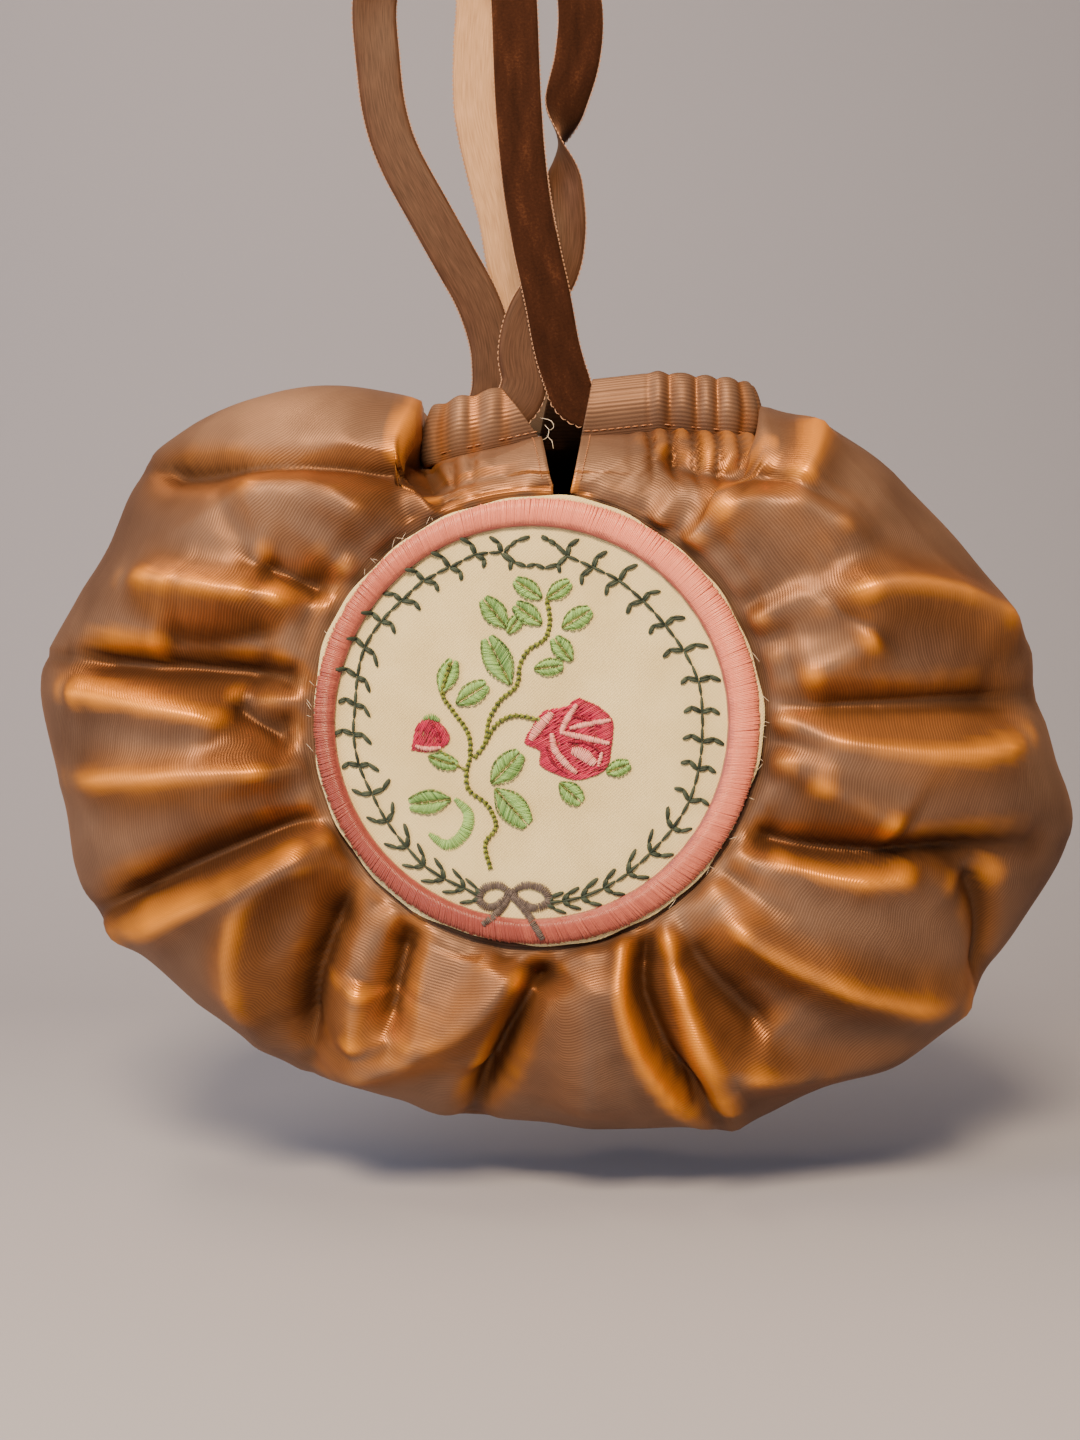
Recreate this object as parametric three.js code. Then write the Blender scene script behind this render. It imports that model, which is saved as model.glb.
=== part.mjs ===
import * as THREE from 'three';

// Reticule: a drawstring bag of shot taffeta. A strip of cloth is gathered onto an embroidered round
// at the front and onto a plain covered round at the back. The mouth has two gathered casings with a
// slit between them, and a closed loop of velvet ribbon runs through each casing and up to the hand.
// Millimetres, +Z up, the front faces -Y. Sizes are taken from the centre of the front round, and the
// whole bag then hangs from the origin, the point that holds up both ribbons.

// Driving sizes
const reach = 150;
const halfDepth = 36;
const clothWall = 1.2;
const seamGap = 0.3;
const hang = { x: -15, z: 250 };
const round = { radius: 61.5, thickness: 1.5, tuck: 5.5 };
const border = { outer: 60, inner: 53, rise: 2.2, shiftX: -1.5, shiftZ: -0.4 };
const puff = 6;
const rimRoll = 4;
const mouth = { centre: 16, halfWidth: 46.5, halfDepth: 9.5, height: 81, shoulder: 3.4, blend: 1.8 };
const slit = { centre: 6.7, backShift: -10, atRound: 4.7, atCasing: 11.5 };
const casing = {
  thickness: 5, height: 17, wall: 1, bevel: 1.3, gatherPitch: 6.2, gatherRise: 0.9, settle: 8,
  leftFlat: 3, rightFlat: 18, leftSlant: 11, rightSlant: 3.4,
};
const gathers = { rise: 0.7, fade: 0.16, first: 31, second: 43, third: 19 };
const swell = { fall: 0.75, early: 0.6, late: 1.1, least: 0.15 };
const foldSpread = { crest: 0.9, wide: 2.8, share: 0.3 };
const lean = { left: 7, right: -4.5, spread: 10, from: 0.5 };
const foldEnds = { length: 0.2, kept: 0.35, seam: 0.06, rim: 0.86 };
const ribbon = { width: 13, thickness: 0.9, corner: 0.3 };

const cloth = { colour: 0x8a5a3c, roughness: 0.38, metalness: 0.15 };
const backCloth = { colour: 0x84563a, roughness: 0.4, metalness: 0.15 };
const creamCloth = { colour: 0xe9ddc2, roughness: 0.9, metalness: 0 };
const pinkSatin = { colour: 0xd98c88, roughness: 0.5, metalness: 0 };
const brownRibbon = { colour: 0x7d4a33, roughness: 0.7, metalness: 0 };

// The rim seen from the front: angle in degrees from +X, and distance from the centre as a share of
// the reach. The mouth interrupts it between its two ends.
const rim = [
  { at: 7, share: 0.942 }, { at: 22, share: 0.88 }, { at: 32, share: 0.843 }, { at: 41, share: 0.831 },
  { at: 47, share: 0.812 }, { at: 56, share: 0.78 }, { at: 66, share: 0.74 }, { at: 105, share: 0.62 },
  { at: 112, share: 0.64 }, { at: 119, share: 0.72 }, { at: 125, share: 0.787 }, { at: 131, share: 0.827 },
  { at: 142, share: 0.897 }, { at: 147, share: 0.915 }, { at: 157, share: 0.891 }, { at: 165, share: 0.917 },
  { at: 171, share: 0.953 }, { at: 175, share: 0.966 }, { at: 188, share: 0.921 }, { at: 204, share: 0.938 },
  { at: 211, share: 0.879 }, { at: 222, share: 0.837 }, { at: 230, share: 0.812 }, { at: 241, share: 0.779 },
  { at: 250, share: 0.769 }, { at: 257, share: 0.787 }, { at: 273, share: 0.771 }, { at: 291, share: 0.827 },
  { at: 296, share: 0.864 }, { at: 312, share: 0.889 }, { at: 327, share: 0.981 }, { at: 338, share: 1.017 },
  { at: 349, share: 1.053 }, { at: 356, share: 0.999 },
];

// How far the casing's foot lies above or below the mouth's height, as a share of the casing's height,
// at shares of the mouth's half width from its centre.
const mouthRise = [
  { across: -1.1, rise: -0.47 }, { across: -0.33, rise: 0 }, { across: 0, rise: 0 },
  { across: 0.4, rise: 0.12 }, { across: 1.1, rise: -0.06 },
];

// The main folds of the front, each a line through three points. Angles are in degrees from +X and
// out is the share of the way from the round's edge to the rim. left and right are the widths of its
// two flanks as shares of the reach, and rise is a share of half the bag's depth, below 0 for a valley.
const foldColumns = ['a0', 'out0', 'a1', 'out1', 'a2', 'out2', 'left', 'right', 'rise'];
const folds = [
  [147, 0.97, 137, 0.62, 98, 0.42, 0.030, 0.060, -0.21],
  [146, 0.58, 134, 0.42, 130, 0.07, 0.060, 0.070, 0.18],
  [149, 0.04, 150, 0.18, 151, 0.35, 0.028, 0.030, -0.21],
  [161, 0.80, 158, 0.45, 151, 0.10, 0.040, 0.045, 0.18],
  [166, 0.60, 166, 0.40, 158, 0.12, 0.045, 0.045, -0.14],
  [172, 0.88, 171, 0.50, 169, 0.02, 0.028, 0.055, -0.26],
  [176, 0.85, 177, 0.60, 181, 0.20, 0.035, 0.040, 0.18],
  [177, 0.28, 181, 0.16, 186, 0.04, 0.035, 0.035, -0.15],
  [187, 0.90, 189, 0.45, 191, 0.05, 0.040, 0.045, 0.18],
  [203, 0.02, 203, 0.45, 204, 0.98, 0.030, 0.040, -0.29],
  [207, 0.05, 208, 0.45, 207, 0.95, 0.040, 0.055, 0.18],
  [218, 0.02, 213, 0.45, 229, 0.92, 0.045, 0.045, 0.21],
  [222, 0.03, 229, 0.50, 236, 0.87, 0.030, 0.035, -0.26],
  [236, 0.40, 238, 0.55, 241, 0.72, 0.040, 0.040, 0.14],
  [239, 0.01, 242, 0.35, 245, 0.60, 0.028, 0.030, -0.21],
  [264, 0.02, 256, 0.40, 236, 0.97, 0.045, 0.050, 0.21],
  [269, 0.03, 263, 0.40, 261, 0.70, 0.028, 0.030, 0.12],
  [273, 0.03, 266, 0.35, 261, 0.95, 0.032, 0.035, -0.33],
  [281, 0.08, 279, 0.50, 277, 0.92, 0.080, 0.080, 0.14],
  [295, 0.02, 287, 0.40, 293, 0.96, 0.035, 0.030, 0.20],
  [298, 0.02, 291, 0.42, 295, 0.90, 0.030, 0.030, -0.33],
  [302, 0.03, 297, 0.45, 296, 0.98, 0.028, 0.035, 0.17],
  [304, 0.08, 305, 0.40, 307, 0.66, 0.040, 0.045, -0.18],
  [297, 0.33, 304, 0.76, 326, 0.97, 0.040, 0.045, 0.18],
  [313, 0.10, 318, 0.50, 327, 0.97, 0.045, 0.045, 0.21],
  [341, 0.68, 336, 0.85, 328, 0.98, 0.028, 0.030, -0.15],
  [330, 0.02, 333, 0.35, 340, 0.56, 0.030, 0.035, 0.15],
  [334, 0.02, 337, 0.30, 346, 0.84, 0.028, 0.040, -0.22],
  [348, 0.10, 345, 0.30, 343, 0.45, 0.045, 0.045, 0.15],
  [359, 0.04, 355, 0.50, 358, 0.85, 0.038, 0.045, 0.18],
  [3, 0.08, 3, 0.50, 3, 0.93, 0.030, 0.040, -0.18],
  [9, 0.10, 11, 0.28, 15, 0.42, 0.045, 0.045, 0.14],
  [21, 0.30, 18, 0.65, 8, 0.97, 0.050, 0.055, 0.26],
  [66, 0.80, 55, 0.60, 42, 0.55, 0.030, 0.045, -0.24],
  [42, 0.50, 44, 0.65, 47, 0.88, 0.035, 0.040, 0.15],
  [50, 0.15, 42, 0.40, 26, 0.55, 0.060, 0.060, 0.18],
];

// The back is not shown. It has the same gathers in a plain, even rosette.
const rosette = [
  { count: 9, turn: 0.6, rise: 0.09 }, { count: 14, turn: 2.1, rise: 0.07 },
  { count: 5, turn: 1.2, rise: 0.05 },
];

// The ribbons' routes: places from the centre of the front round, and the way that the velvet faces.
// Each starts inside its casing at the end of the mouth, leaves through the front slit, goes up to the
// hanging point, comes down behind and goes back in through the back slit.
const leftRoute = [
  [-30.5, -0.3, 81.9, -1, 0, 0], [-29.8, -3.6, 82.1, -1, 0.4, 0], [-27.7, -6.7, 82.6, -0.7, 0.7, 0],
  [-24.6, -8.8, 83.4, -0.4, 1, 0], [-21, -9.5, 84.2, 0, 1, 0], [-11.8, -9.4, 87.4, 0, 1, 0],
  [-6, -9.1, 91.2, 0, 1, 0], [-3.6, -8.8, 97.6, 0, 1, 0], [-4.6, -8.6, 106, 0, 1, 0],
  [-2, -8.4, 117, 0, 1, 0], [5.2, -8.3, 129, -0.1, 1, 0], [7.4, -8.2, 140, 0, 1, 0],
  [7.1, -8, 154, 0.5, 0.9, 0], [6.4, -8, 166, 1, 0, 0], [8, -8, 177, 0.5, -0.9, 0],
  [11.6, -8, 191, 0.1, -1, 0], [12.3, -8, 206, 0.2, -1, 0], [8.6, -5.5, 226, 0.7, -0.6, 0.3],
  [-1, -2, 242, 0.6, 0, 0.8], [-15, 0, 249.4, 0, 0, 1], [-31, 3, 243, -0.6, 0, 0.8],
  [-43.5, 7, 230, -0.7, 0.6, 0.3], [-48.4, 9, 215, -0.2, 1, 0], [-47.5, 9, 197, 0, 1, 0],
  [-45.4, 9, 181, 0, 1, 0], [-40.9, 9, 167.5, 0, 1, 0], [-32, 9, 151, 0, 1, 0],
  [-24.5, 9, 137.6, 0, 1, 0], [-18, 9, 125.7, 0, 1, 0], [-14, 9, 114, 0, 1, 0],
  [-12.9, 8.9, 105, 0, 1, 0], [-13.2, 8.9, 97.2, 0, 1, 0], [-16, 9.1, 90.4, 0, 1, 0],
  [-21, 9.4, 85.6, 0, 1, 0], [-24.6, 8.8, 83.4, -0.4, 1, 0],
  [-27.7, 6.7, 82.6, -0.7, 0.7, 0], [-29.8, 3.6, 82.1, -1, 0.4, 0], [-30.5, 0.3, 81.9, -1, 0, 0],
];
const rightRoute = [
  [62.5, -0.3, 89.2, 1, 0, 0], [61.8, -3.6, 89.3, 1, -0.4, 0], [59.7, -6.7, 89.6, 0.7, -0.7, 0],
  [56.6, -8.8, 90, 0.4, -1, 0], [53, -9.5, 90.4, 0, -1, 0], [34.6, -9.5, 91.9, 0, -1, 0],
  [17.4, -9.5, 90.2, 0, -1, 0], [11, -9.8, 92.2, 0, -1, 0], [8.3, -10.3, 98.2, 0, -1, 0],
  [5.6, -11.2, 107, 0, -1, 0], [3.1, -12.3, 120, 0, -1, 0], [-0.6, -12.4, 137, 0, -1, 0],
  [-3.4, -12.2, 154, 0, -1, 0], [-5.4, -11.8, 177, 0, -1, 0], [-6.6, -11, 206, 0, -1, 0.1],
  [-8, -8.6, 226, 0, -1, 0.4], [-11, -5, 239, 0, -0.7, 0.7], [-14.5, 0, 245.5, 0, 0, 1],
  [-17.6, 5, 240, 0, 0.7, 0.7], [-18.4, 9, 228, 0, 1, 0.3], [-17.6, 11, 215, 0, 1, 0],
  [-18.5, 11.2, 200, 0, 1, 0], [-18.2, 11.2, 182, 0, 1, 0], [-14.6, 11.2, 164.5, 0, 1, 0],
  [-11, 11.2, 151, 0, 1, 0], [-8.7, 11.2, 137.6, 0, 1, 0], [-6, 11.2, 125.7, 0, 1, 0],
  [-4, 11.2, 113, 0, 1, 0], [-2.2, 10.8, 104, 0, 1, 0], [-1.7, 10.3, 98.2, 0, 1, 0],
  [1, 9.8, 92.2, 0, 1, 0], [7.4, 9.5, 90.1, 0, 1, 0], [20, 9.5, 90.6, 0, 1, 0], [34.6, 9.5, 91.9, 0, 1, 0],
  [53, 9.5, 90.4, 0, 1, 0], [56.6, 8.8, 90, 0.4, 1, 0], [59.7, 6.7, 89.6, 0.7, 0.7, 0],
  [61.8, 3.6, 89.3, 1, 0.4, 0], [62.5, 0.3, 89.2, 1, 0, 0],
];

// How finely each piece is divided
const divisions = {
  rightMouth: 9, rim: 77, leftMouth: 6, front: 11, back: 6, leftCasing: 22, rightCasing: 36, round: 44,
};

const degrees = Math.PI / 180;
const ease = (low, high, value) => THREE.MathUtils.smoothstep(value, low, high);
const mix = THREE.MathUtils.lerp;

// A straight-line reading between the rows of a table
function between(rows, key, value, field) {
  let next = rows.findIndex((row) => row[key] >= value);
  if (next < 0) next = rows.length - 1;
  if (next === 0) next = 1;
  const low = rows[next - 1];
  const high = rows[next];
  const part = THREE.MathUtils.clamp((value - low[key]) / (high[key] - low[key]), 0, 1);
  return mix(low[field], high[field], part);
}

// A smooth reading round the rim's table, which closes on itself
function rimAt(angle) {
  const turn = ((angle % 360) + 360) % 360;
  let high = rim.findIndex((row) => row.at > turn);
  if (high < 0) high = rim.length;
  const row = (index) => {
    const wraps = Math.floor(index / rim.length);
    const found = rim[index - wraps * rim.length];
    return { at: found.at + 360 * wraps, share: found.share };
  };
  const [before, low, up, after] = [row(high - 2), row(high - 1), row(high), row(high + 1)];
  const part = (turn - low.at) / (up.at - low.at);
  const span = up.at - low.at;
  const slopeLow = ((up.share - before.share) / (up.at - before.at)) * span;
  const slopeUp = ((after.share - low.share) / (after.at - low.at)) * span;
  const cube = part * part * part;
  const square = part * part;
  const share = (2 * cube - 3 * square + 1) * low.share + (cube - 2 * square + part) * slopeLow
    + (3 * square - 2 * cube) * up.share + (cube - square) * slopeUp;
  return share * reach;
}

// The height of the casing's foot across the mouth
function mouthFoot(x) {
  const across = (x - mouth.centre) / mouth.halfWidth;
  return mouth.height + casing.height * between(mouthRise, 'across', across, 'rise');
}

// How far the mouth's middle line lies in front of the bag's middle plane
function mouthDepth(x) {
  const past = Math.abs(x - mouth.centre) - (mouth.halfWidth - mouth.halfDepth);
  if (past <= 0) return mouth.halfDepth;
  return Math.sqrt(Math.max(0, mouth.halfDepth ** 2 - past ** 2));
}

// The angles of the mouth's two ends, with the shoulder that clears the casing
const endX = [-1, 1].map((side) => mouth.centre + side * (mouth.halfWidth + mouth.shoulder));
const mouthEnds = endX.map((x) => Math.atan2(mouthFoot(x), x) / degrees);

// The cloth's outer edge at an angle: its distance from the centre, its depth at the mouth, and how
// far it belongs to the rim, from 0 at the mouth to 1
function edgeAt(angle) {
  const turn = ((angle % 360) + 360) % 360;
  const [leftEnd, rightEnd] = mouthEnds;
  const inside = THREE.MathUtils.clamp(turn, rightEnd, leftEnd);
  let far = mouth.height;
  for (let pass = 0; pass < 30; pass += 1) {
    far = mouthFoot(far * Math.cos(inside * degrees)) / Math.sin(inside * degrees);
  }
  const away = Math.min(Math.abs(turn - inside), 360 - Math.abs(turn - inside));
  const rimShare = ease(0, mouth.blend, away);
  const depth = away > 0 ? 0 : mouthDepth(far * Math.cos(inside * degrees));
  return { far: mix(far, rimAt(angle), rimShare), depth, rimShare };
}

// A place on the front view's plane, from an angle and a share of the way out
function onPlane(angle, out) {
  const far = mix(round.radius, edgeAt(angle).far, out);
  return new THREE.Vector2(far * Math.cos(angle * degrees), far * Math.sin(angle * degrees));
}

const foldLines = folds.map((numbers) => {
  const fold = Object.fromEntries(foldColumns.map((name, index) => [name, numbers[index]]));
  const [start, middle, end] = [0, 1, 2].map((knot) => onPlane(fold[`a${knot}`], fold[`out${knot}`]));
  const pull = middle.clone().multiplyScalar(2).sub(start.clone().add(end).multiplyScalar(0.5));
  return { ...fold, line: new THREE.QuadraticBezierCurve(start, pull, end).getPoints(12) };
});

// How far one fold lifts the cloth at a place
function foldRise(fold, place) {
  let best = { distance: Infinity, side: 1, along: 0 };
  for (let index = 0; index + 1 < fold.line.length; index += 1) {
    const start = fold.line[index];
    const step = fold.line[index + 1].clone().sub(start);
    const offset = place.clone().sub(start);
    const part = THREE.MathUtils.clamp(offset.dot(step) / step.lengthSq(), 0, 1);
    const distance = offset.clone().addScaledVector(step, -part).length();
    if (distance < best.distance) {
      best = { distance, side: step.cross(offset), along: (index + part) / (fold.line.length - 1) };
    }
  }
  const width = reach * (best.side > 0 ? fold.left : fold.right);
  const { length, kept } = foldEnds;
  const ends = ease(0, length, best.along) * ease(0, length, 1 - best.along);
  const across = best.distance / width;
  const { crest, wide, share } = foldSpread;
  const profile = crest * Math.exp(-(across ** 2)) + share * Math.exp(-((across / wide) ** 2));
  return fold.rise * halfDepth * profile * mix(kept, 1, ends);
}

// The small gathers where the cloth is drawn up onto a round
function roundGathers(angle, out) {
  const turn = angle * degrees;
  const { first, second, third, rise, fade } = gathers;
  const uneven = Math.sin(first * turn + 0.8) + 0.6 * Math.sin(second * turn + 2)
    + 0.4 * Math.sin(third * turn);
  return rise * uneven * Math.exp(-out / fade);
}

// The small gathers under a casing, away from its flat stretch beside the slit
function casingGathers(place, angle, out) {
  const edge = edgeAt(angle);
  const flat = Math.abs(place.x - slit.centre) - casing.rightFlat;
  const drawn = ease(0, casing.settle, flat) * (1 - edge.rimShare);
  const roll = Math.cos((2 * Math.PI * place.x) / casing.gatherPitch);
  return casing.gatherRise * roll * drawn * ease(0.3, 0.85, out);
}

function frontRise(place, angle, out) {
  const drawn = foldLines.reduce((sum, fold) => sum + foldRise(fold, place), 0);
  return drawn + roundGathers(angle, out) + casingGathers(place, angle, out);
}

function backRise(place, angle, out) {
  const waves = rosette.reduce(
    (sum, wave) => sum + wave.rise * Math.cos(wave.count * angle * degrees + wave.turn), 0);
  return halfDepth * waves * Math.sin(Math.PI * Math.min(1, out)) ** 0.6 + roundGathers(angle, out);
}

// The angle of one edge of a panel's slit: the right edge for hand 1, the left one for hand -1
function slitAngle(side, out, hand) {
  const far = mix(round.radius, edgeAt(90).far, out);
  const centre = slit.centre + (side > 0 ? slit.backShift : 0);
  return Math.acos((centre + (hand * mix(slit.atRound, slit.atCasing, out)) / 2) / far) / degrees;
}

// The angle of a column of the cloth. Columns run clockwise: from 0 at the slit's right edge to 1 at the
// mouth's right end, on round the rim to 2 at its left end, and to 3 at the slit's left edge.
function columnAngle(side, column, out) {
  const [leftEnd, rightEnd] = mouthEnds;
  if (column <= 1) return mix(slitAngle(side, out, 1), rightEnd, column);
  if (column <= 2) return mix(rightEnd, leftEnd - 360, column - 1);
  return mix(leftEnd - 360, slitAngle(side, out, -1) - 360, column - 2);
}

// The columns that the cloth is divided into, with one just beside each end of the mouth
function columnPlaces() {
  const evenly = (count) => Array.from({ length: count }, (_, index) => index / count);
  const beside = mouth.blend / (360 - (mouthEnds[0] - mouthEnds[1]));
  const rest = evenly(divisions.rim - 2).map((share) => mix(1 + beside, 2 - beside, share));
  return [
    ...evenly(divisions.rightMouth), 1, ...rest, 2 - beside,
    ...evenly(divisions.leftMouth).map((share) => 2 + share), 3,
  ];
}

// One gathered panel: front for side -1, back for side 1. Its inner edge is tucked under the round,
// and its outer edge meets the other panel just behind the rim.
function panel(side, rows, riseAt) {
  const columns = columnPlaces();
  const grid = [columns.map((column) => tuckPoint(side, column))];
  for (let row = 0; row <= rows; row += 1) {
    grid.push(columns.map((column) => clothPoint(side, column, row / rows, riseAt)));
  }
  return shell(grid, clothWall);
}

// The gathered edge, out of sight under the round
function tuckPoint(side, column) {
  const turn = columnAngle(side, column, 0) * degrees;
  const inner = round.radius - round.tuck;
  return new THREE.Vector3(inner * Math.cos(turn), side * (halfDepth + seamGap / 2), inner * Math.sin(turn));
}

// A place on the cloth's outer face, with its folds
function clothPoint(side, column, row, riseAt) {
  const step = 0.004;
  const here = basePoint(side, column, row);
  const outward = basePoint(side, column, Math.min(1, row + step)).point
    .sub(basePoint(side, column, Math.max(0, row - step)).point);
  const around = basePoint(side, column + step, row).point.sub(basePoint(side, column - step, row).point);
  const normal = outward.cross(around).normalize().multiplyScalar(side);
  const spread = new THREE.Vector2(here.point.x, here.point.z);
  const free = ease(0, foldEnds.seam, here.out) * (1 - ease(foldEnds.rim, 1, row));
  return here.point.addScaledVector(normal, free * riseAt(spread, here.angle, here.out));
}

// The plump shape that the folds stand on
function basePoint(side, column, row) {
  const last = edgeAt(columnAngle(side, column, 1));
  const swing = row * (90 - side * rimRoll * last.rimShare) * degrees;
  const out = Math.sin(swing);
  const angle = columnAngle(side, column, out);
  const edge = edgeAt(angle);
  const start = round.radius + seamGap;
  const far = start + (edge.far - start) * out;
  const fall = Math.sign(Math.cos(swing)) * Math.abs(Math.cos(swing)) ** swell.fall;
  const stretch = Math.min(1, (edge.far - start) / (reach - start) + swell.least);
  const plump = 3 * puff * stretch * out ** swell.early * (1 - out) ** swell.late;
  const depth = edge.depth + (halfDepth - edge.depth) * fall + plump + seamGap / 2;
  const turn = angle * degrees;
  const x = far * Math.cos(turn) + edge.rimShare * shoulderLean(angle, out);
  return { point: new THREE.Vector3(x, side * depth, far * Math.sin(turn)), angle, out };
}

// How far the cloth beside the two ends of the mouth leans over towards the casings
function shoulderLean(angle, out) {
  const [leftEnd, rightEnd] = mouthEnds;
  const turn = ((angle % 360) + 360) % 360;
  const right = Math.min(Math.abs(turn - rightEnd), Math.abs(turn - rightEnd - 360));
  const near = (away) => Math.exp(-((away / lean.spread) ** 2));
  return ease(lean.from, 1, out) * (lean.right * near(right) + lean.left * near(Math.abs(turn - leftEnd)));
}

// A closed wall from a grid of outer points: the inner face lies one thickness behind each of them,
// and on the last row, where two panels meet, straight towards the middle
function shell(grid, thickness) {
  const rows = grid.length;
  const columns = grid[0].length;
  const at = (row, column) => grid[THREE.MathUtils.clamp(row, 0, rows - 1)][
    THREE.MathUtils.clamp(column, 0, columns - 1)];
  const depthways = new THREE.Vector3(0, 1, 0);
  const inner = grid.map((line, row) => line.map((point, column) => {
    const outward = row === rows - 1 ? depthways.clone() : at(row + 1, column).clone().sub(at(row - 1, column));
    const around = at(row, column + 1).clone().sub(at(row, column - 1));
    const normal = outward.cross(around).normalize();
    if (normal.dot(point) < 0) normal.negate();
    return point.clone().addScaledVector(normal, -thickness);
  }));
  const points = [...grid.flat(), ...inner.flat()];
  const skin = rows * columns;
  const faces = [];
  const quad = (a, b, c, d) => faces.push([a, b, c], [a, c, d]);
  for (let row = 0; row + 1 < rows; row += 1) {
    for (let column = 0; column + 1 < columns; column += 1) {
      const a = row * columns + column;
      const [b, c, d] = [a + 1, a + columns + 1, a + columns];
      quad(a, b, c, d);
      quad(skin + a, skin + d, skin + c, skin + b);
    }
  }
  const border = [];
  for (let column = 0; column + 1 < columns; column += 1) border.push(column);
  for (let row = 0; row + 1 < rows; row += 1) border.push((row + 1) * columns - 1);
  for (let column = columns - 1; column > 0; column -= 1) border.push((rows - 1) * columns + column);
  for (let row = rows - 1; row > 0; row -= 1) border.push(row * columns);
  border.forEach((a, index) => {
    const b = border[(index + 1) % border.length];
    quad(a, skin + a, skin + b, b);
  });
  return solid(points, faces);
}

// A geometry from points and faces, turned so that its faces look outwards
function solid(points, faces) {
  const volume = faces.reduce((sum, [a, b, c]) => {
    const cross = points[b].clone().cross(points[c]);
    return sum + points[a].dot(cross) / 6;
  }, 0);
  const order = volume < 0 ? faces.map(([a, b, c]) => [a, c, b]) : faces;
  const geometry = new THREE.BufferGeometry();
  const places = new Float32Array(points.flatMap((point) => [point.x, point.y, point.z]));
  geometry.setAttribute('position', new THREE.BufferAttribute(places, 3));
  geometry.setIndex(order.flat());
  geometry.computeVertexNormals();
  return geometry;
}

// The mouth's middle line as a flat loop with round ends: a place and its outward direction, at a
// distance along it from the middle of the front, counted towards side
function mouthLoop(side, distance) {
  const straight = mouth.halfWidth - mouth.halfDepth;
  const bend = Math.PI * mouth.halfDepth;
  if (distance <= straight) {
    return { x: mouth.centre + side * distance, y: -mouth.halfDepth, outX: 0, outY: -1 };
  }
  if (distance >= straight + bend) {
    const back = distance - straight - bend;
    return { x: mouth.centre + side * (straight - back), y: mouth.halfDepth, outX: 0, outY: 1 };
  }
  const turn = (distance - straight) / mouth.halfDepth;
  const outX = side * Math.sin(turn);
  const outY = -Math.cos(turn);
  return {
    x: mouth.centre + side * straight + mouth.halfDepth * outX, y: mouth.halfDepth * outY, outX, outY,
  };
}

// One casing: a flat gathered tunnel from the front slit round the end of the mouth to the back slit.
// Its ends are cut on a slant, so that the ribbon can turn upwards out of them.
function casingTunnel(side, stations, slant, flat) {
  const { thickness, height, wall, bevel } = casing;
  const half = thickness / 2;
  const outer = [
    [-half, bevel], [bevel - half, 0], [half - bevel, 0], [half, bevel],
    [half, height - bevel], [half - bevel, height], [bevel - half, height], [-half, height - bevel],
  ];
  const inner = outer.map(([across, up]) => [
    across * ((half - wall) / half), wall + (up * (height - 2 * wall)) / height,
  ]);
  const edge = slit.centre + (side * slit.atCasing) / 2;
  const first = side * (edge - mouth.centre);
  const halfLoop = 2 * (mouth.halfWidth - mouth.halfDepth) + Math.PI * mouth.halfDepth;
  const last = halfLoop - side * (edge + slit.backShift - mouth.centre);
  const rings = [];
  for (let station = 0; station <= stations; station += 1) {
    const share = station / stations;
    const ring = [...outer, ...inner].map(([across, up], index) => {
      const cut = slant * (up / height);
      const distance = mix(first + cut, last - cut, share);
      const place = mouthLoop(side, distance);
      const drawn = ease(flat, flat + casing.settle, Math.min(distance - first, last - distance));
      const roll = Math.cos((2 * Math.PI * distance) / casing.gatherPitch);
      const lift = index < outer.length && across > 0 ? casing.gatherRise * roll * drawn : 0;
      return new THREE.Vector3(place.x + place.outX * (across + lift), place.y + place.outY * (across + lift),
        mouthFoot(place.x) + seamGap + up);
    });
    rings.push(ring);
  }
  return tube(rings, outer.length);
}

// A hollow tube with open ends, from rings that hold the outer points and then the inner ones
function tube(rings, sides) {
  const size = 2 * sides;
  const faces = [];
  const quad = (a, b, c, d) => faces.push([a, b, c], [a, c, d]);
  for (let ring = 0; ring + 1 < rings.length; ring += 1) {
    for (let point = 0; point < sides; point += 1) {
      const next = (point + 1) % sides;
      const a = ring * size;
      quad(a + point, a + next, a + size + next, a + size + point);
      quad(a + sides + point, a + size + sides + point, a + size + sides + next, a + sides + next);
    }
  }
  const end = (rings.length - 1) * size;
  for (let point = 0; point < sides; point += 1) {
    const next = (point + 1) % sides;
    quad(point, sides + point, sides + next, next);
    quad(end + point, end + next, end + sides + next, end + sides + point);
  }
  return solid(rings.flat(), faces);
}

// A round of covered card: front for side -1, back for side 1
function clothRound(side) {
  const disc = new THREE.CylinderGeometry(round.radius, round.radius, round.thickness, divisions.round);
  disc.translate(0, side * (halfDepth + 1.5 * seamGap + round.thickness / 2), 0);
  return disc;
}

// The satin border: a raised ring, wider on the right than on the left
function satinBorder() {
  const foot = halfDepth + 2.5 * seamGap + round.thickness;
  const section = [
    [0, 0], [0.02, 0.55], [0.2, 0.9], [0.5, 1], [0.8, 0.9], [0.98, 0.55], [1, 0],
  ];
  const points = [];
  const faces = [];
  for (let step = 0; step < divisions.round; step += 1) {
    const turn = (2 * Math.PI * step) / divisions.round;
    section.forEach(([across, up]) => {
      const x = mix(border.inner * Math.cos(turn) + border.shiftX, border.outer * Math.cos(turn), across);
      const z = mix(border.inner * Math.sin(turn) + border.shiftZ, border.outer * Math.sin(turn), across);
      points.push(new THREE.Vector3(x, -(foot + border.rise * up), z));
    });
    section.forEach((_, index) => {
      const next = (index + 1) % section.length;
      const far = ((step + 1) % divisions.round) * section.length;
      const near = step * section.length;
      faces.push([near + index, near + next, far + next], [near + index, far + next, far + index]);
    });
  }
  return solid(points, faces);
}

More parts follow.
